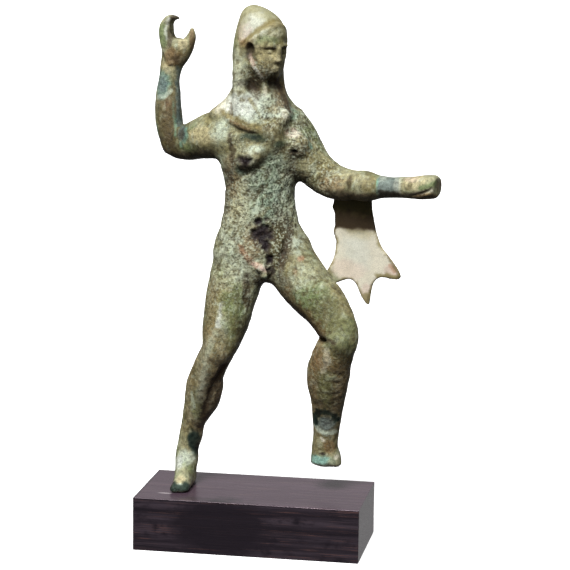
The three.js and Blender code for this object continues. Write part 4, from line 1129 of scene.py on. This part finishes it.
    "strokes": [
        ([(14.0, -3.9, 90.3), (14.6, -4.0, 89.0), (15.1, -4.0, 87.8), (15.9, -3.6, 86.7), (16.7, -3.1, 85.6)],
         0.36, "pink", 0.7, 0.8),  # the broken edge at the cheek
        ([(15.1, -4.0, 87.8), (15.9, -3.6, 86.7), (16.7, -3.1, 85.6)], 0.3, "frost", 0.9, 0.3),
        ([(13.0, -3.2, 92.6), (14.0, -3.9, 93.9), (15.5, -4.4, 95.0), (17.0, -4.2, 96.1), (18.6, -3.3, 96.9)],
         0.6, "olive", 0.8, 0.8),  # the groove over the brim
        ([(12.6, -3.0, 92.8), (13.6, -3.4, 92.6), (14.8, -4.2, 93.2)], 0.5, "brown", 0.5, 0.9),
        ([(6.7, 0.6, 78.6), (8.2, -2.6, 78.8), (10.3, -4.4, 77.8), (12.4, -5.2, 76.8), (14.5, -5.8, 76.2),
          (16.4, -5.8, 75.8)], 0.62, "olive", 0.8, 0.8),  # along the mantle's edge
        ([(10.3, -4.4, 77.0), (12.4, -5.2, 76.2), (14.5, -5.8, 75.4)], 0.4, "brown", 0.7, 0.8),
        ([(14.0, -4.0, 81.6), (15.5, -4.4, 79.4), (16.8, -4.6, 77.4)], 0.4, "olive", 0.6, 0.8),
        ([(12.8, -4.6, 51.6), (13.6, -4.6, 50.2), (14.6, -4.6, 49.0), (15.8, -4.6, 48.2)],
         0.55, "copper", 0.55, 1.0),  # scar at the groin
        ([(15.4, -4.6, 48.3), (16.6, -4.8, 47.8), (18.0, -4.8, 47.2)], 0.5, "pink", 0.65, 0.9),
        ([(-2.3, 5.0, 86.4), (-2.2, 5.0, 82), (-2.2, 4.8, 78), (-2.0, 4.2, 75.4)],
         0.65, "slate", 0.85, 0.8),  # down the right forearm
        ([(-3.4, 4.8, 80.6), (-3.3, 4.6, 78), (-3.0, 4.2, 75.6), (-2.4, 3.0, 73.2), (-1.2, 1.6, 71.8)],
         0.3, "verdigris", 0.5, 1.3),
        ([(0.2, 1.6, 74.6), (0.4, 0.6, 73.4), (0.0, 0.2, 72.2), (-1.2, 0.6, 71.4)],
         0.45, "verdigris", 0.5, 1.1),
        ([(-6.6, 4.6, 80.6), (-5.0, 3.8, 80.9), (-3.8, 4.0, 82.2)], 0.4, "mint", 0.7, 0.9),
        ([(-5.6, 4.4, 95.6), (-4.8, 4.0, 96.2), (-4.0, 3.9, 96.6)], 0.35, "frost", 0.8, 0.7),  # worn finger
        ([(-4.6, 3.6, 92.6), (-4.9, 3.5, 94.4), (-4.5, 3.8, 95.6)], 0.25, "frost", 0.7, 0.8),
        ([(-7.0, 5.4, 75), (-6.7, 5.2, 73), (-6.2, 5.2, 71.4)], 0.3, "verdigris", 0.6, 0.9),
        ([(49.4, -9.0, 65.4), (51.2, -9.4, 66.0), (52.6, -9.4, 66.6)], 0.5, "moss", 0.9, 0.5),  # left hand
        ([(46.6, -7.6, 63.6), (49.0, -8.6, 64.3), (51.6, -9.4, 65.2)], 0.35, "bone", 0.6, 0.8),
        ([(40.2, -4.2, 62.0), (40.4, -4.6, 64.6), (40.4, -4.0, 67.2)], 0.35, "verdigris", 0.9, 0.7),
        ([(44.9, -6.2, 62.4), (45.1, -6.6, 64.6), (45.0, -6.0, 67.2)], 0.25, "frost", 0.5, 0.8),
        ([(0.6, -1.0, 6.4), (2.0, 0.6, 5.6), (3.0, 1.6, 5.9)], 0.4, "mint", 0.85, 0.7),  # right instep
        ([(27.8, 0.2, 14.8), (28.5, -0.6, 13.6), (30.2, -1.2, 13.0), (32.0, -0.6, 13.6)],
         0.5, "mint", 0.95, 0.7),  # rim of the shin's mark
        ([(27.8, -0.6, 15.4), (28.0, -1.0, 16.6), (28.8, -1.7, 17.7), (30.1, -2.2, 18.1), (31.5, -2.0, 17.5),
          (32.5, -1.4, 16.2)], 0.7, "deepGreen", 0.97, 0.7),
        ([(29.2, -0.6, 11.9), (29.6, -0.7, 11.5)], 0.35, "bone", 0.9, 0.5),
        ([(2.4, -3.6, 20.8), (2.6, -3.4, 19.0), (3.0, -3.0, 17.4)], 0.3, "mint", 0.6, 0.9),
        ([(9.5, -4.6, 27.2), (8.6, -4.1, 25.2), (7.6, -3.9, 22.9), (6.5, -3.5, 20.7), (5.7, -2.8, 18.4),
          (4.7, -1.6, 15.6)], 0.7, "umber", 0.75, 0.7),  # painted shade in the groove beside the right calf
        ([(8.9, -6.2, 40.0), (8.8, -6.3, 38.0), (8.5, -6.5, 35.6)], 0.45, "frost", 0.75, 1.2),
        # painted highlight along the ridge of the right shin
        ([(8.0, -6.5, 34.4), (7.2, -6.5, 32.6), (6.2, -6.2, 28.4), (5.2, -5.1, 23.9), (4.0, -3.4, 19.4)],
         0.6, "mint", 0.4, 1.7),
        ([(22.2, -3.0, 42.0), (24.6, -3.8, 39.6), (27.2, -5.2, 37.4), (29.6, -6.6, 35.6)],
         1.3, "brown", 0.6, 1.0),  # inside the left thigh
        # painted shade along the underside of the left thigh
        ([(22.0, -2.6, 41.2), (25.0, -3.6, 38.6), (28.0, -5.4, 36.0), (30.0, -6.6, 34.4)],
         0.8, "umber", 0.65, 0.9),
        # painted shade in the crease under the left knee
        ([(28.4, -5.4, 33.5), (29.8, -6.4, 33.7), (31.4, -7.6, 34.0), (33.0, -8.0, 33.6)],
         0.5, "umber", 0.75, 0.8),
        # painted highlights down the front of the left shin and on a wrinkle across it
        ([(31.2, -7.6, 32.2), (31.1, -7.1, 29.4), (30.2, -6.5, 27.2)], 0.6, "bone", 0.5, 1.4),
        ([(31.0, -6.7, 25.6), (32.4, -6.2, 25.8), (33.4, -5.4, 25.4)], 0.4, "mint", 0.35, 1.5),
        ([(24.9, 0.2, 74.6), (25.4, 0.0, 73.2), (26.0, 0.0, 71.6)],
         0.35, "verdigris", 0.8, 0.8),  # left shoulder
        ([(10.2, -4.0, 74.4), (11.0, -4.9, 71.3), (10.9, -4.5, 68.0), (10.4, -3.7, 65.4)],
         0.5, "umber", 0.55, 1.1),  # painted shade in the crease under the raised arm
        # painted shade in the fold down the neck, with a pale edge beside it
        ([(18.9, -0.8, 85.2), (20.0, -0.6, 82.8), (21.0, -0.6, 80.6), (21.8, -0.4, 79.0)],
         0.6, "umber", 0.75, 0.9),
        ([(20.2, 0.6, 84.8), (21.0, 0.6, 82.4), (21.9, 0.6, 80.2)], 0.35, "bone", 0.6, 0.9),
        # painted shade in the crease between the belly and the left thigh
        ([(22.6, -1.4, 55.4), (21.6, -2.6, 51.8), (20.9, -3.7, 48.6), (20.6, -4.0, 46.2)],
         0.7, "umber", 0.6, 0.7),
        ([(39.6, 2.6, 45.5), (41.6, 2.2, 45.6), (43.8, 1.8, 45.5)],
         0.6, "olive", 0.85, 0.7),  # the hanging skin's edges
        ([(41.8, 2.4, 50.0), (43.0, 2.2, 48.4), (44.0, 2.0, 46.8), (44.5, 1.9, 45.6)],
         0.5, "umber", 0.85, 0.9),
        ([(42.4, 2.0, 48.0), (43.2, 1.8, 46.8)], 0.4, "copper", 0.5, 0.9),
        ([(38.3, 3.4, 43.4), (37.9, 3.6, 41.4), (37.4, 3.7, 39.9)], 0.3, "umber", 0.7, 0.8),
        ([(30.6, 4, 60), (30.6, 4, 57), (30.5, 4, 54.2), (30.7, 4, 51.6)], 0.35, "umber", 0.85, 0.8),
    ],
    # Patches with straight, sharper edges, on the front only: round the left wrist, and a painted shadow of
    # the arm on the hanging skin under it.
    "bands": [
        ((42.6, -4, 65.6), (2.4, 5, 3.4), "ash", 0.75, 0.15),
        ((42.0, -5, 64.2), (1.7, 5, 3.2), "slate", 0.5, 1.0),
        ((42.6, -5, 62.7), (2.5, 5, 1.4), "soot", 0.85, 1.0),
        ((35.0, 3.0, 60.0), (6, 1.9, 5.4), "umber", 0.97, 0.1),  # painted shadow of the arm on the skin close under it
        # more painted shadow of the arm, a little higher up the skin
        ((35.0, 3.0, 62.6), (6, 1.9, 4.6), "drab", 0.85, 0.4),
    ],
    # Where the bronze is eaten into pits: a middle, half sizes and a share.
    "pitting": [
        ((16, -1, 59), (12, 9, 15), 0.8),
        ((20, -3, 60), (6, 6, 13), 1.0),
        ((22, 2, 73), (6, 6, 7), 0.9),
        ((28, 1, 66), (5, 5, 4), 0.7),
        ((18.5, -2.5, 78), (3.5, 4, 4.5), 0.8),
        ((13.4, -3.6, 80), (4, 3, 5), 0.6),
        ((11.5, -1, 85), (3, 4, 4.5), 0.7),
        ((11, -2, 46), (7, 8, 10), 0.6),
        ((24, -1, 45), (6, 7, 6), 0.4),
        ((15.8, -3, 87), (3, 3, 3.5), 0.6),
        ((20, 0, 30), (30, 12, 22), 0.25),
    ],
    # Where it is smooth and evenly coloured, in the same form.
    "smooth": [
        ((36.5, 3.2, 50), (11, 3, 16), 0.92),
        ((14.6, 0, 97.0), (6, 7, 5), 0.6),
        ((11, -3.6, 80.2), (5, 4, 3), 0.15),
    ],
    # Holes eaten in deeper, in the same form.
    "holes": [
        ((16.2, -3.8, 56.8), (0.9, 2.2, 0.5), 1.0),  # three in the belly that run into one another
        ((16.8, -3.8, 54.5), (2.2, 2.4, 2.1), 1.0),
        ((17.7, -3.8, 52.3), (0.9, 2.2, 1.4), 1.0),
        ((13.6, -5.9, 69.2), (1.7, 2.2, 1.1), 1.0),  # in the right breast
        ((22.9, -3.0, 70.9), (0.8, 1.2, 0.5), 1.0),  # in the left one
        ((18.6, -4.2, 48.9), (0.8, 1.6, 1.2), 1.0),  # at the groin
        ((18.9, -4.6, 46.8), (0.7, 2.0, 1.8), 1.0),
    ],
    # Weights fall from 1 to 0 over an edge that is wider where it is ragged.
    "edges": {
        "round": (0.15, 0.35),  # half width of a clean edge, and what raggedness adds
        "square": (0.06, 0.16),
        "at": 0.92,  # the middle of the edge, as a share of the half sizes
        "fray": 0.45,  # how far the noise moves it
        "boxPower": 10,
        "stroke": (0.6, 1.4),  # shares of a stroke's half width
        "strokeFray": 0.6,
        "strokeFlat": (1.0, 0.4, 1.0),
    },
    "noises": {  # size, seed and octaves
        "edge": (2.4, 8, 2),  # frays the pitted and the smooth areas
        "crumbs": (0.95, 11, 2),  # pits where it is high, crumbs where it is low
        "fray": (0.9, 14, 2),  # frays the holes
        "large": (6.5, 21, 3),
        "middle": (1.8, 24, 3),
        "small": (0.75, 27, 2),
        "flecks": (0.8, 31, 2),
    },
    "waves": [(0.10, 5.2, 3, 2), (0.05, 1.7, 5, 2)],  # height, then size, seed and octaves
    "depth": {
        "pits": 0.17,
        "crumbs": 0.06,
        "holes": 0.7,
        "gouges": 0.5,  # deeper parts of the holes, as a share
        "evened": 0.7,  # share of the waves that a smooth area loses
        "pitsFull": 0.6,  # the noise at which a pit is full
        "gougesFull": 0.5,
        "pittingRagged": 0.6,
        "smoothRagged": 0.2,
        "holesRagged": 1.0,
    },
    "fineBelow": 2,  # a patch has a finely frayed edge if one of its half sizes is no more than this
    "fineFray": 0.6,
    "fleckShape": (1.0, 1.0, 0.45),  # flecks are drawn out upwards
    # Shades over the whole figure: where each begins and is full on its noise or slope, how much of it,
    # and how much a second noise frays it.
    "layers": {
        "oliveClouds": ("olive", -0.3, 0.6, 0.7, 0.0),
        "mossClouds": ("moss", 0.2, 1.0, 0.5, 0.5),
        "paleSpeckle": ("mint", 0.35, 0.9, 1.0, 0.3),
        "darkSpeckle": ("drab", 0.25, 0.8, 0.6, 0.5),
        "paleFlecks": ("mint", 0.62, 0.9, 0.35, 0.0),
        # umber in hollows: patina gathered there, and painted shade
        "hollows": ("umber", 0.06, 0.2, 0.5, 0.0),
        # painted shade: umber where the surface faces down
        "paintedUnderShade": ("umber", 0.15, 0.75, 0.75, 0.15),
        "skinRim": ("olive", 0.7, 0.0, 0.8, 0.4),  # the worn rim of the hanging skin
        "wear": ("bone", 0.06, 0.2, 0.15, 0.06),  # on what stands out
        "holeFloor": ("umber", 0.1, 0.7, 0.6, 0.0),
    },
    "speckled": (0.18, 0.45),  # pale speckle on sound bronze, and what pitting adds
    "pitDirt": 0.4,
    "holeDark": 0.97,
    "bandFacing": (-0.2, 0.2),  # bands lie on the front
    "crumbsFrom": (0.01, 0.09),  # brightness where pale crumbs begin and are full: dark hollows have none
}


def screenToLinear(shade):
    # From 0 to 255 on a screen to an amount of light, by the usual curve of screens.
    value = np.asarray(shade, float) / 255
    return np.where(value <= 0.04045, value / 12.92, ((value + 0.055) / 1.055) ** 2.4)


def patchWeight(points, at, half, ragged, fray, square=False):
    # 1 inside an ellipsoid, or a box with round corners, and 0 outside; the noise moves its edge in and out.
    edges = patina["edges"]
    away = (points - np.array(at)) / np.array(half)
    r = np.linalg.norm(away, axis=1)
    least, more = edges["round"]
    edge = least + more * ragged**2
    if square:
        r = (np.abs(away) ** edges["boxPower"]).sum(1) ** (1 / edges["boxPower"])
        least, more = edges["square"]
        edge = least + more * ragged
    return 1 - ramp(r + ragged * edges["fray"] * fray, edges["at"] - edge, edges["at"] + edge)


def strokeWeight(points, path, half, ragged, fray):
    # 1 on the line through the places of the path, 0 further off than its half width; depth counts for less.
    edges = patina["edges"]
    nearest = np.full(len(points), np.inf)
    path = np.array(path, float)
    for a, b in zip(path[:-1], path[1:]):
        run = b - a
        t = np.clip((points - a) @ run / (run @ run), 0, 1)
        away = (points - a - t[:, None] * run) * edges["strokeFlat"]
        nearest = np.minimum(nearest, np.linalg.norm(away, axis=1))
    return 1 - ramp(nearest / half + ragged * edges["strokeFray"] * fray, *edges["stroke"])


def largestWeight(points, patches, ragged, fray):
    # Where patches overlap, the largest weight counts.
    largest = np.zeros(len(points))
    for at, half, amount in patches:
        largest = np.maximum(largest, amount * patchWeight(points, at, half, ragged, fray))
    return largest


def wornSurface(points, normals, spec):
    # Slow waves of an uneven casting, then pits, then the eaten holes, all along the normal.
    depth = spec["depth"]
    edge, crumbs, fray = (roughNoise(points, *spec["noises"][name]) for name in ("edge", "crumbs", "fray"))
    waves = sum(high * roughNoise(points, *cells) for high, *cells in spec["waves"])
    smooth = largestWeight(points, spec["smooth"], depth["smoothRagged"], edge)
    share = largestWeight(points, spec["pitting"], depth["pittingRagged"], edge) * (1 - smooth)
    eaten = largestWeight(points, spec["holes"], depth["holesRagged"], fray)
    pits = ramp(crumbs, 0.0, depth["pitsFull"]) * share
    gouges = ramp(-crumbs, 0.0, depth["gougesFull"])
    lift = waves * (1 - depth["evened"] * smooth) - depth["pits"] * pits
    lift = lift + depth["crumbs"] * share * ramp(-crumbs, 0.0, depth["pitsFull"])
    lift = lift - depth["holes"] * eaten * (1 + depth["gouges"] * gouges)
    worn = {"pits": pits, "pitted": share * (1 - eaten), "smooth": smooth, "eaten": eaten}
    return points + normals * lift[:, None], worn


def paintPatina(points, normals, hollow, worn, spec):
    shades = {name: np.array(shade, float) for name, shade in spec["shades"].items()}
    noises = spec["noises"]
    large, middle, small = (roughNoise(points, *noises[name]) for name in ("large", "middle", "small"))
    flecks = roughNoise(points * spec["fleckShape"], *noises["flecks"])
    fine = spec["fineFray"] * middle + spec["fineFray"] * small
    coarse = 1 - worn["smooth"]
    colour = np.tile(shades["sage"], (len(points), 1))

    def lay(shade, weight):
        nonlocal colour
        weight = np.clip(weight, 0, 1)[:, None]
        colour = colour * (1 - weight) + shades[shade] * weight

    def layer(name, values, fray=0.0, share=1.0):
        shade, low, high, amount, frayed = spec["layers"][name]
        lay(shade, ramp(values + frayed * fray, low, high) * amount * share)

    layer("oliveClouds", large)
    layer("mossClouds", -large, middle)
    for at, half, shade, amount, ragged in spec["patches"]:
        edge = middle if min(half) > spec["fineBelow"] else fine
        lay(shade, amount * patchWeight(points, at, half, ragged, edge))
    sound, more = spec["speckled"]
    layer("paleSpeckle", small, middle, share=(sound + more * worn["pitted"]) * coarse)
    layer("darkSpeckle", -small, middle, share=coarse)
    layer("paleFlecks", flecks, share=coarse)
    for at, half, shade, amount, ragged in spec["marks"]:
        lay(shade, amount * patchWeight(points, at, half, ragged, fine))
    for path, half, shade, amount, ragged in spec["strokes"]:
        lay(shade, amount * strokeWeight(points, path, half, ragged, small))
    # darker in hollows: patina gathered there, and painted shade
    layer("hollows", hollow)
    # painted shade on what faces down
    layer("paintedUnderShade", -normals[:, 2], middle)
    sheet = patchWeight(points, *hangingSkin["box"], 0, small, square=True)
    inside = -outlineDistance(skinOutline(hangingSkin), points[:, 0], points[:, 2])
    layer("skinRim", inside, small, share=sheet)
    lay("umber", worn["pits"] * spec["pitDirt"])
    layer("wear", -hollow, small)
    facing = ramp(-normals[:, 1], *spec["bandFacing"])
    for at, half, shade, amount, ragged in spec["bands"]:
        lay(shade, amount * facing * patchWeight(points, at, half, ragged, middle, square=True))
    lay("black", worn["eaten"] * spec["holeDark"])
    layer("holeFloor", small, share=worn["eaten"])
    return screenToLinear(colour)  # the shades are mixed as a screen shows them


bronze = {
    "specular": 0.28,
    "roughness": (0.36, 0.60),
    "textures": {  # scale, detail and roughness of each noise
        "grain": (3200.0, 2.0, 0.6),
        "mottle": (800.0, 4.0, 0.65),
        "eaten": (1250.0, 2.0, 0.5),
    },
    "used": (0.3, 0.7),  # the stretch of grain and mottle that is used
    "mottling": (-0.5, 0.5),  # how much darker and lighter the mottling makes the painted shade
    "graining": (0.86, 1.14),
    "pits": (0.48, 0.36, 0.0, 0.62),  # begin and are full here on the last noise, and their amounts there
    "pitShade": (0.055, 0.048, 0.028, 1.0),
    "crumbs": (0.53, 0.64, 0.0, 0.6),  # the same for pale crumbs
    "crumbShade": (0.60, 0.66, 0.50, 1.0),
    "grainHigh": 0.35,  # height of the grain against that of the mottling
    "bumpHigh": 0.0004,
    "bumps": (0.15, 1.0),  # strength where the bronze is smooth, and elsewhere
}


def patinaMaterial(spec):
    material, tree, shader = newMaterial("bronze patina", {"Specular IOR Level": spec["specular"]})
    place = newNode(tree, "TexCoord").outputs["Object"]
    painted = newNode(tree, "Attribute", attribute_name="patina").outputs["Color"]
    pitted = newNode(tree, "Attribute", attribute_name="pitted").outputs["Fac"]
    coarse = newNode(tree, "Attribute", attribute_name="coarse").outputs["Fac"]

    def texture(name):
        scale, detail, roughness = spec["textures"][name]
        inputs = {"Vector": place, "Scale": scale, "Detail": detail, "Roughness": roughness}
        return newNode(tree, "TexNoise", inputs).outputs["Fac"]

    grain, mottle, eaten = texture("grain"), texture("mottle"), texture("eaten")
    # Mottling and grain make the painted shade lighter or darker, least where the bronze is smooth.
    uneven = worked(tree, "MULTIPLY", stretched(tree, mottle, *spec["used"], *spec["mottling"]), coarse)
    uneven = worked(tree, "ADD", uneven, stretched(tree, grain, *spec["used"], *spec["graining"]))
    varied = newNode(tree, "VectorMath", {0: painted, "Scale": uneven}, operation="SCALE").outputs["Vector"]
    # Fine pits, dark where a noise is low, and pale crumbs where it is high, as far as the bronze is eaten.
    pits = worked(tree, "MULTIPLY", stretched(tree, eaten, *spec["pits"]), pitted)
    crumbs = worked(tree, "MULTIPLY", stretched(tree, eaten, *spec["crumbs"]), pitted)
    shade = mixed(tree, pits, mixed(tree, crumbs, varied, spec["crumbShade"]), spec["pitShade"])
    # Height for the bump: grain and mottling, less the pits.
    height = worked(tree, "SUBTRACT", worked(tree, "MULTIPLY_ADD", grain, spec["grainHigh"], mottle), pits)
    strength = stretched(tree, coarse, 0.0, 1.0, *spec["bumps"])
    bump = newNode(tree, "Bump", {"Distance": spec["bumpHigh"], "Height": height, "Strength": strength})
    feed(tree, shader, {
        "Base Color": shade,
        "Roughness": stretched(tree, mottle, *spec["used"], *spec["roughness"]),
        "Normal": bump.outputs["Normal"],
    })
    return material


def setAttribute(mesh, name, kind, values):
    layer = mesh.attributes.new(name, kind, "POINT")
    field = "color" if kind == "FLOAT_COLOR" else "value"
    layer.data.foreach_set(field, np.ascontiguousarray(values, np.float32).ravel())


def makeFigure(spec):
    boxLow, boxHigh = (np.array(corner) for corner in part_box("figure"))
    hundredth = (boxHigh[2] - boxLow[2]) / spec["crown"]
    origin = boxLow - np.array(spec["lowCorner"]) * hundredth
    highCorner = (boxHigh - origin) / hundredth
    clay = Clay(np.array(spec["lowCorner"]) - spec["room"], highCorner + spec["room"], spec["step"])
    modelFigure(clay)
    points, quads = polygons(clay)
    print("figure's forms are joined:", len(points), "points")

    slope = np.stack(np.gradient(clay.field), -1)
    normals = unit(np.stack([sampled(slope[..., k], clay, points) for k in range(3)], 1) + 1e-9)
    filled = np.clip(0.5 - clay.field / clay.step / 2, 0, 1)  # how full of bronze each grid cell is
    hollow = 0.0
    for steps, weight in spec["hollows"]:
        hollow = hollow + weight * (sampled(blurred(filled, steps), clay, points) - 0.5)
    points, worn = wornSurface(points, normals, patina)
    points[:, 2] = np.maximum(points[:, 2], 0.0)
    colour = paintPatina(points, normals, hollow, worn, patina)
    worn["pitted"] = worn["pitted"] * ramp(colour.mean(1), *patina["crumbsFrom"])

    piece = smoothObject("bronzeFigure", points * hundredth + origin, quads)
    setAttribute(piece.data, "patina", "FLOAT_COLOR", np.column_stack([colour, np.ones(len(colour))]))
    setAttribute(piece.data, "pitted", "FLOAT", worn["pitted"])
    setAttribute(piece.data, "coarse", "FLOAT", 1 - worn["smooth"])
    piece.data.materials.append(patinaMaterial(bronze))
    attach(piece, "root")
    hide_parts("figure")


# The wooden block

block = {
    "round": 0.0002,  # radius of its edges
    "step": 0.0011,
    "bends": (0.25, 0.55, 1.0),  # where the rows of points lie round an edge, as shares of the radius
    "mergeWithin": 1e-6,
    "shades": {  # red, green, blue as a screen shows them
        "light": (58, 50, 57),
        "dark": (26, 22, 28),
        "red": (92, 66, 62),
        # the paler painted sheen of the top and the right end
        "paintedSheenShade": (104, 82, 96),
        "pale": (206, 196, 198),
    },
    "specular": 0.75,
    "tint": (1.0, 0.80, 0.89, 1.0),
    "streaks": {  # noise drawn out along the block: scale on each axis, shift and detail
        "fine": ((60.0, 1500.0, 2600.0), 1.3, 4.0),
        "broad": ((14.0, 200.0, 420.0), 5.1, 4.0),
        "cloud": ((160.0, 200.0, 260.0), 9.7, 5.0),
    },
    "streakRough": 0.6,
    "grain": [  # over the dark shade: a noise, where it begins and is full, and its shade
        ("broad", 0.35, 0.65, "light"),
        ("fine", 0.58, 0.72, "red"),
        ("fine", 0.46, 0.34, "dark"),
        ("cloud", 0.54, 0.7, "dark"),
    ],
    "paintedSheen": (0.93, 0.99, 0.0, 0.42),  # painted sheen on the top and the right end: the slopes where it begins and is full, and its amount at each
    "spots": [  # middle, half sizes, amount and shade: a smudge on the front and a pale spot by the toes
        ((-0.009, -0.020, 0.010), (0.017, 0.012, 0.010), 0.9, "dark"),
        ((-0.0305, -0.0118, 0.019), (0.0024, 0.0006, 0.002), 0.6, "pale"),
    ],
    "spotEdge": (1.7, 1.3),  # a spot begins and is full here: distance over half sizes, plus the cloud noise
    "gloss": (0.3, 0.7, 0.34, 0.24),  # the fine noise from and to, and the roughness at each
    "bump": 0.35,
    "bumpHigh": 0.00015,
}


def faceStops(half, spec):
    # Places along one axis: even steps over the flat, and three close ones round each edge.
    flat = half - spec["round"]
    count = max(2, int(round(2 * flat / spec["step"])))
    bend = spec["round"] * np.array(spec["bends"])
    return np.concatenate([-(flat + bend)[::-1], np.linspace(-flat, flat, count + 1), flat + bend])


def roundedBlock(low, high, spec):
    # A point q of the plain box moves to c + r (q - c) / |q - c|, where c is q held inside the box less r.
    middle, half = (low + high) / 2, (high - low) / 2
    points, faces = [], []
    for axis in range(3):
        others = [k for k in range(3) if k != axis]
        u, v = np.meshgrid(*(faceStops(half[k], spec) for k in others), indexing="ij")
        for end in (-1, 1):
            q = np.empty(u.shape + (3,))
            q[..., others[0]], q[..., others[1]], q[..., axis] = u, v, end * half[axis]
            inner = np.clip(q, spec["round"] - half, half - spec["round"])
            reach = q - inner
            length = np.maximum(np.linalg.norm(reach, axis=-1, keepdims=True), 1e-12)
            q = inner + spec["round"] * reach / length
            i, j = np.meshgrid(np.arange(u.shape[0] - 1), np.arange(u.shape[1] - 1), indexing="ij")
            here = i * u.shape[1] + j + sum(len(p) for p in points)
            beyond = here + u.shape[1]
            faces.append(np.stack([here, beyond, beyond + 1, here + 1], -1).reshape(-1, 4))
            points.append(q.reshape(-1, 3) + middle)
    return np.vstack(points), np.vstack(faces)


def woodMaterial(spec):
    inputs = {"Specular IOR Level": spec["specular"], "Specular Tint": spec["tint"]}
    material, tree, shader = newMaterial("stained wood", inputs)
    coordinates = newNode(tree, "TexCoord").outputs
    shades = {name: tuple(screenToLinear(shade)) + (1.0,) for name, shade in spec["shades"].items()}
    streaks = {}
    for name, (scale, shift, detail) in spec["streaks"].items():
        stretch = {"Vector": coordinates["Object"], "Scale": scale, "Location": (shift,) * 3}
        drawn = newNode(tree, "Mapping", stretch).outputs["Vector"]
        inputs = {"Vector": drawn, "Scale": 1.0, "Detail": detail, "Roughness": spec["streakRough"]}
        streaks[name] = newNode(tree, "TexNoise", inputs).outputs["Fac"]

    def spot(middle, half, amount):
        # The amount inside an ellipsoid with a frayed edge, falling to 0 outside it.
        place = {0: coordinates["Object"], 1: middle}
        away = newNode(tree, "VectorMath", place, operation="SUBTRACT").outputs["Vector"]
        over = newNode(tree, "VectorMath", {0: away, 1: half}, operation="DIVIDE").outputs["Vector"]
        far = newNode(tree, "VectorMath", {0: over}, operation="LENGTH").outputs["Value"]
        return stretched(tree, worked(tree, "ADD", far, streaks["cloud"]), *spec["spotEdge"], 0.0, amount)

    wood = shades["dark"]
    for name, low, high, shade in spec["grain"]:
        wood = mixed(tree, stretched(tree, streaks[name], low, high), wood, shades[shade])
    # The sum of the normal's x and z is 1 on the top and on the right end, which are mixed paler there as a
    # painted sheen.
    slope = {0: coordinates["Normal"], 1: (1.0, 0.0, 1.0)}
    facing = newNode(tree, "VectorMath", slope, operation="DOT_PRODUCT").outputs["Value"]
    wood = mixed(tree, stretched(tree, facing, *spec["paintedSheen"]), wood, shades["paintedSheenShade"])
    for middle, half, amount, shade in spec["spots"]:
        wood = mixed(tree, spot(middle, half, amount), wood, shades[shade])
    relief = {"Strength": spec["bump"], "Distance": spec["bumpHigh"], "Height": streaks["fine"]}
    feed(tree, shader, {
        "Base Color": wood,
        "Roughness": stretched(tree, streaks["fine"], *spec["gloss"]),
        "Normal": newNode(tree, "Bump", relief).outputs["Normal"],
    })
    return material


def makeBlock(spec):
    low, high = (np.array(corner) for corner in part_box("plinth"))
    piece = smoothObject("woodenBlock", *roundedBlock(low, high, spec))
    built = bmesh.new()
    built.from_mesh(piece.data)
    bmesh.ops.remove_doubles(built, verts=built.verts, dist=spec["mergeWithin"])
    bmesh.ops.recalc_face_normals(built, faces=built.faces)
    built.to_mesh(piece.data)
    built.free()
    piece.data.materials.append(woodMaterial(spec))
    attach(piece, "root")
    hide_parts("plinth")


makeFigure(figure)
print("the figure is painted")
makeBlock(block)
print("the block is made")
